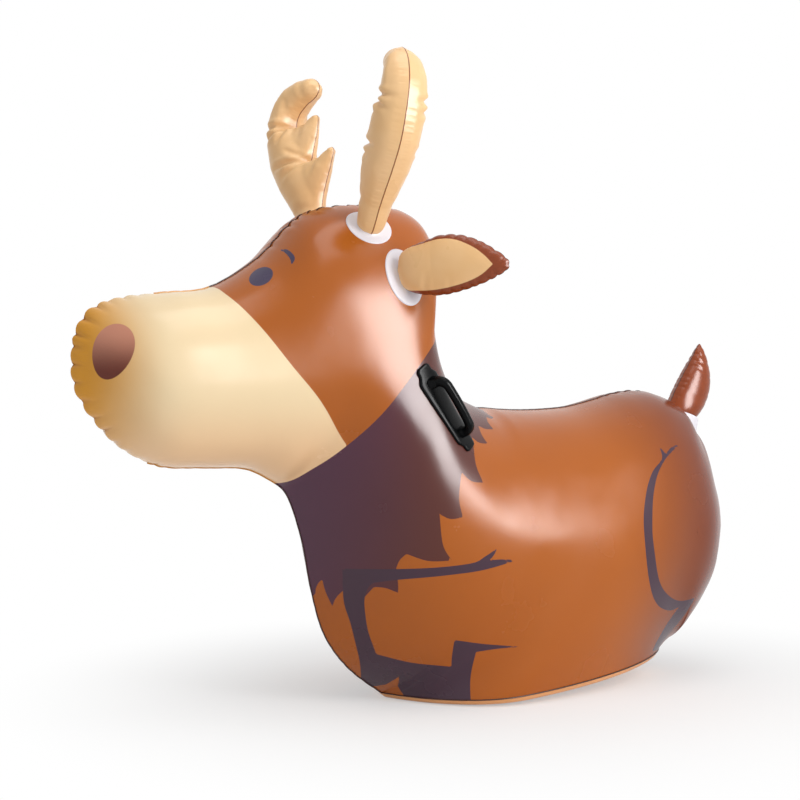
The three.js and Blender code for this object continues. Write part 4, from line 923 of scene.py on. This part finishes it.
def coatFilm():
    # printed film: solid inks with sharp edges over a brown, with painted shade that darkens the brown to the rump and
    # the cream muzzle at its front, its bottom and in its creases, and a painted highlight on the top of the nose
    material = freshMaterial("printedPvcFilmBrownWithPaintedShade")
    place = addNode(material, "ShaderNodeTexCoord").outputs["Object"]
    cloud = addNode(material, "ShaderNodeTexNoise", {"Vector": place, "Scale": 1000 / 160, "Detail": 2.0})
    axes = addNode(material, "ShaderNodeSeparateXYZ", {"Vector": place}).outputs

    def shadeTo(under, axis, start, end, tone):  # blends one colour into another along one axis of the body
        share = addNode(material, "ShaderNodeMapRange", {"Value": axes[axis], "From Min": start, "From Max": end},
                        interpolation_type="SMOOTHSTEP").outputs["Result"]
        return addNode(material, "ShaderNodeMix", {0: share, 6: under, 7: tone}, data_type="RGBA").outputs[2]

    colour = addNode(material, "ShaderNodeMix", {0: cloud.outputs["Fac"], 6: linear(coatInks["brown"]),
                                                 7: linear(coatInks["brownDeep"])}, data_type="RGBA").outputs[2]
    # painted shade: the brown darkens toward the rump
    colour = shadeTo(colour, "Y", 0.03, 0.3, linear(coatInks["brownRumpShade"]))
    colour = inkOver(material, colour, "mane", -0.3, 0.3, shadeTo(linear(coatInks["mane"]), "Y", -0.26, -0.42,
                                                                  linear(coatInks["maneLow"])))
    colour = inkOver(material, colour, "line", -0.3, 0.3, linear(coatInks["line"]))
    # painted shade: the cream darkens toward the bottom of the muzzle
    creamAndPaintedShade = shadeTo(linear(coatInks["muzzle"]), "Z", 0.46, 0.35, linear(coatInks["muzzleLowShade"]))
    # painted shade: the cream turns darker golden toward the front end of the muzzle
    creamAndPaintedShade = shadeTo(creamAndPaintedShade, "Y", -0.64, -0.735, linear(coatInks["muzzleFrontShade"]))
    # painted shade: darker golden in the creases of the gathers, deepest where the film sinks most
    creamAndPaintedShade = inkOver(material, creamAndPaintedShade, "sink", 1.0, 6.0, linear(coatInks["muzzleCreaseShade"]))
    colour = inkOver(material, colour, "muzzle", -0.3, 0.3, creamAndPaintedShade)
    # painted highlight: the nose lightens toward its top
    colour = inkOver(material, colour, "nose", -0.3, 0.3, shadeTo(linear(coatInks["nose"]), "Z", 0.475, 0.535,
                                                                  linear(coatInks["noseTopHighlight"])))
    colour = inkOver(material, colour, "eye", -0.3, 0.3, linear(coatInks["eye"]))
    filmFinish(material, colour, 0.24, 70, 0.7)
    return material


def plainFilm(name, colour, shade, roughness=0.3, seam=None, muzzle=None):
    # film of one colour, a little cloudy, with its dark weld at the edge where it has one
    material = freshMaterial(name)
    place = addNode(material, "ShaderNodeTexCoord").outputs["Object"]
    cloud = addNode(material, "ShaderNodeTexNoise", {"Vector": place, "Scale": 1000 / 60, "Detail": 2.0})
    mixed = addNode(material, "ShaderNodeMix", {0: cloud.outputs["Fac"], 6: linear(colour), 7: linear(shade)},
                    data_type="RGBA").outputs[2]
    if seam:
        mixed = inkOver(material, mixed, "fromSeam", 1.2, 0.6, linear(seam))
    if muzzle:
        mixed = inkOver(material, mixed, "muzzle", -0.3, 0.3, linear(muzzle))
    filmFinish(material, mixed, roughness, 40, 0.8)
    return material


earPrint = {"leaf": [[[-9, 127], [6, 115], [20, 98], [32, 74], [35, 50], [31, 20], [28, -20]], [[28, -20], [-27, -20]],
                     [[-27, -20], [-33, 20], [-34, 50], [-30, 82], [-22, 108], [-9, 127]]],
            "leafInk": "#FBD09A", "leafDeep": "#F2BE80", "rim": "#8A3D18"}


def earFilm():
    # printed film: a peach leaf inside a brown rim, with the dark weld at the edge
    material = freshMaterial("printedPvcFilmEar")
    place = addNode(material, "ShaderNodeTexCoord").outputs["Object"]
    cloud = addNode(material, "ShaderNodeTexNoise", {"Vector": place, "Scale": 1000 / 50, "Detail": 2.0})
    leaf = addNode(material, "ShaderNodeMix", {0: cloud.outputs["Fac"], 6: linear(earPrint["leafInk"]),
                                               7: linear(earPrint["leafDeep"])}, data_type="RGBA").outputs[2]
    colour = inkOver(material, linear(earPrint["rim"]), "leaf", -0.3, 0.3, leaf)
    colour = inkOver(material, colour, "fromSeam", 1.1, 0.6, linear(coatInks["seam"]))
    filmFinish(material, colour, 0.3, 40, 0.8)
    return material


def mouldedVinyl():
    # black PVC moulded against a polished tool: deep colour, a sharp gloss and a slight orange peel
    material = freshMaterial("mouldedBlackVinyl")
    place = addNode(material, "ShaderNodeTexCoord").outputs["Object"]
    peel = addNode(material, "ShaderNodeTexNoise", {"Vector": place, "Scale": 1000 / 5, "Detail": 2.0})
    rub = addNode(material, "ShaderNodeTexNoise", {"Vector": place, "Scale": 1000 / 22, "Detail": 5.0})
    gloss = addNode(material, "ShaderNodeMapRange", {"Value": rub.outputs["Fac"], "From Min": 0.35, "From Max": 0.7,
                                                     "To Min": 0.2, "To Max": 0.36})
    tone = addNode(material, "ShaderNodeMix", {0: rub.outputs["Fac"], 6: linear("#030405"), 7: linear("#07090B")},
                   data_type="RGBA").outputs[2]
    bump = addNode(material, "ShaderNodeBump", {"Height": peel.outputs["Fac"], "Distance": 0.00012, "Strength": 0.5})
    shader = addNode(material, "ShaderNodeBsdfPrincipled", {"Base Color": tone, "Roughness": gloss.outputs["Result"],
                                                            "IOR": 1.5, "Specular IOR Level": 0.1,
                                                            "Normal": bump.outputs["Normal"]})
    addNode(material, "ShaderNodeOutputMaterial", {"Surface": shader.outputs["BSDF"]})
    return material


def mouldedSoft(name, colour, shade, roughness):
    # soft milky PVC of a valve, moulded and a little dusty
    material = freshMaterial(name)
    place = addNode(material, "ShaderNodeTexCoord").outputs["Object"]
    cloud = addNode(material, "ShaderNodeTexNoise", {"Vector": place, "Scale": 1000 / 12, "Detail": 4.0})
    tone = addNode(material, "ShaderNodeMix", {0: cloud.outputs["Fac"], 6: linear(colour), 7: linear(shade)},
                   data_type="RGBA").outputs[2]
    gloss = addNode(material, "ShaderNodeMapRange", {"Value": cloud.outputs["Fac"], "To Min": roughness - 0.06,
                                                     "To Max": roughness + 0.08})
    bump = addNode(material, "ShaderNodeBump", {"Height": cloud.outputs["Fac"], "Distance": 0.00008, "Strength": 0.4})
    shader = addNode(material, "ShaderNodeBsdfPrincipled", {"Base Color": tone, "Roughness": gloss.outputs["Result"],
                                                            "IOR": 1.5, "Normal": bump.outputs["Normal"]})
    addNode(material, "ShaderNodeOutputMaterial", {"Surface": shader.outputs["BSDF"]})
    return material


coat = coatFilm()
antlerFilm = plainFilm("pvcFilmPeach", "#FBD2A0", "#F4C284", seam="#8A4A1E")
earFront = earFilm()
earBack = plainFilm("pvcFilmEarBrown", "#8A3D18", "#7A3312", seam="#3A1A14")
tailFilm = plainFilm("pvcFilmTailBrown", "#98420F", "#84370C", roughness=0.27, seam="#3A1A14")
collarWhite = plainFilm("pvcFilmWhite", "#F3F0F5", "#E9E5EE", roughness=0.42)
basePeach = plainFilm("pvcFilmBasePeach", "#EDB079", "#E3A066", roughness=0.42)
seamBrown = plainFilm("weldedPvcEdgeBrown", "#42201A", "#341812", roughness=0.4, muzzle="#CE9040")
blackVinyl = mouldedVinyl()
valveVinyl = mouldedSoft("mouldedMilkyPvc", "#E4E6E6", "#D6D9DA", 0.36)
valveRubber = mouldedSoft("mouldedIvoryRubber", "#E6E1D4", "#D8D2C2", 0.5)
print("materials made")

def seenDirectly(material):  # 1 for what the viewer sees, also in gloss and through glass
    ray = addNode(material, "ShaderNodeLightPath").outputs
    seen = ray["Is Camera Ray"]
    for kind in ("Is Glossy Ray", "Is Transmission Ray"):
        seen = addNode(material, "ShaderNodeMath", {0: seen, 1: ray[kind]}, operation="MAXIMUM").outputs["Value"]
    return seen


# Pieces on their bodies
finishPiece(leftSide, coat, "skin", ["left_side_panel"])
finishPiece(rightSide, coat, "skin", ["right_side_panel"])
finishPiece(basePanel, basePeach, "skin", ["base_panel"])
for lip in (backLip, chestLip, rearLip, baseLip):
    finishPiece(lip, seamBrown, "skin")
for word, side in (("left", 1), ("right", -1)):
    for part, face in (("front", 1), ("back", -1)):
        film = bagFilm(f"{word}Antler{part.title()}Film", antlerBag, antlerBlown, face, side)
        finishPiece(film, antlerFilm, f"{word}_antler", [f"{word}_antler_{part}"])
        film = bagFilm(f"{word}Ear{part.title()}Film", earBag, earBlown, -face, side)
        flat = np.stack([getNumbers(film, "across"), getNumbers(film, "along")], 1)
        setNumbers(film, "leaf", edgeDistance(flat, strokeLine(earPrint["leaf"], 2))[0])
        finishPiece(film, earFront if part == "front" else earBack, f"{word}_ear",
                    [f"{word}_ear_{part}"])
    for kind in ("antler", "ear"):
        ring = collar(f"{word}{kind.title()}Collar", kind, side)
        finishPiece(ring, collarWhite, "skin", [f"{word}_{kind}_collar"])
    finishPiece(handlePlate(f"{word}HandlePlate", side), blackVinyl, "skin", [f"{word}_handle_plate"])
    finishPiece(handleGrip(f"{word}HandleGrip", side), blackVinyl, "skin", [f"{word}_handle_grip"])
for word, face in (("left", 1), ("right", -1)):
    film = bagFilm(f"tail{word.title()}Film", tailBag, tailBlown, face, 1)
    finishPiece(film, tailFilm, "tail", [f"tail_{word}"])
finishPiece(collar("tailCollar", "tail", 1), collarWhite, "skin", ["tail_collar"])
finishPiece(tailSleeve("tailSleeve"), collarWhite, "skin")
for node, material in (("valve_base", valveVinyl), ("valve_insert", valveVinyl), ("valve_cap", valveVinyl),
                       ("valve_pin", valveVinyl),
                       ("valve_flap", valveRubber), ("valve_gasket", valveRubber)):
    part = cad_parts[node]
    part.data.materials.clear()
    part.data.materials.append(material)
print("pieces set on their bodies")

# Studio: pale floor, a large soft light overhead and two at the viewer's right; focal and picture in pixels
studio = {"floorSize": 14, "floorTone": "#F4F4F4", "target": (0, -230, 442), "distance": 2350, "azimuth": 57,
          "focal": 1575, "picture": 800, "world": 0.5}
target = Vector(studio["target"]) * mm
turn = radians(studio["azimuth"])
toViewer = Vector((sin(turn), -cos(turn), 0))
toRight = Vector((cos(turn), sin(turn), 0))
deselect()
bpy.ops.object.camera_add(location=target + toViewer * studio["distance"] * mm, rotation=(pi / 2, 0, turn))
camera = bpy.context.object
camera.name = "viewer"
camera.data.lens = studio["focal"] / studio["picture"] * camera.data.sensor_width
bpy.context.scene.camera = camera

deselect()
bpy.ops.mesh.primitive_plane_add(size=studio["floorSize"], location=(0, 0, -0.0005))
floor = bpy.context.object
floor.name = "studioFloor"
floorPaint = freshMaterial("paleStudioFloor")
place = addNode(floorPaint, "ShaderNodeTexCoord").outputs["Object"]
away = addNode(floorPaint, "ShaderNodeVectorMath", {0: place}, operation="LENGTH").outputs["Value"]
far = addNode(floorPaint, "ShaderNodeMapRange", {"Value": away, "From Min": 0.22, "From Max": 0.85, "To Min": 0.42},
              interpolation_type="SMOOTHSTEP").outputs["Result"]
share = addNode(floorPaint, "ShaderNodeMath", {0: seenDirectly(floorPaint), 1: far},
                operation="MULTIPLY").outputs["Value"]
matt = addNode(floorPaint, "ShaderNodeBsdfPrincipled", {"Base Color": linear(studio["floorTone"]), "Roughness": 0.9,
                                                        "Specular IOR Level": 0.1})
white = addNode(floorPaint, "ShaderNodeEmission", {"Color": (1, 1, 1, 1), "Strength": 1.0})
both = addNode(floorPaint, "ShaderNodeMixShader", {0: share, 1: matt.outputs["BSDF"], 2: white.outputs["Emission"]})
addNode(floorPaint, "ShaderNodeOutputMaterial", {"Surface": both.outputs["Shader"]})
floor.data.materials.append(floorPaint)

world = bpy.data.worlds.new("studioWhite")
bpy.context.scene.world = world
world.use_nodes = True
world.node_tree.nodes.clear()
strength = addNode(world, "ShaderNodeMapRange", {"Value": seenDirectly(world), "To Min": studio["world"],
                                                 "To Max": 1.0}).outputs["Result"]
sky = addNode(world, "ShaderNodeBackground", {"Color": (1, 1, 1, 1), "Strength": strength})
addNode(world, "ShaderNodeOutputWorld", {"Surface": sky.outputs["Background"]})

# name, metres from the target to the viewer's right, toward the viewer and up, width, height, watts, lights the colours
# the sheen box shows in the gloss only, as a bright strip in front of the tall one
lamps = [("overheadBox", (0.35, 0.3, 1.9), 1.1, 1.1, 10, True), ("tallBox", (1.5, 1.12, 0.75), 0.9, 1.5, 20, True),
         ("sheenBox", (1.62, 1.05, 0.62), 1.0, 1.5, 78, False)]
for name, (r, v, u), width, height, watts, lights in lamps:
    deselect()
    bpy.ops.object.light_add(type="AREA", location=target + toRight * r + toViewer * v + Vector((0, 0, u)))
    lamp = bpy.context.object
    lamp.name = name
    lamp.data.shape = "RECTANGLE"
    lamp.data.size = width
    lamp.data.size_y = height
    lamp.data.energy = watts
    lamp.visible_diffuse = lights
    lamp.rotation_euler = (target - lamp.location).to_track_quat("-Z", "Y").to_euler()
bpy.context.scene.view_settings.view_transform = "Standard"
print("studio set")

print("done")
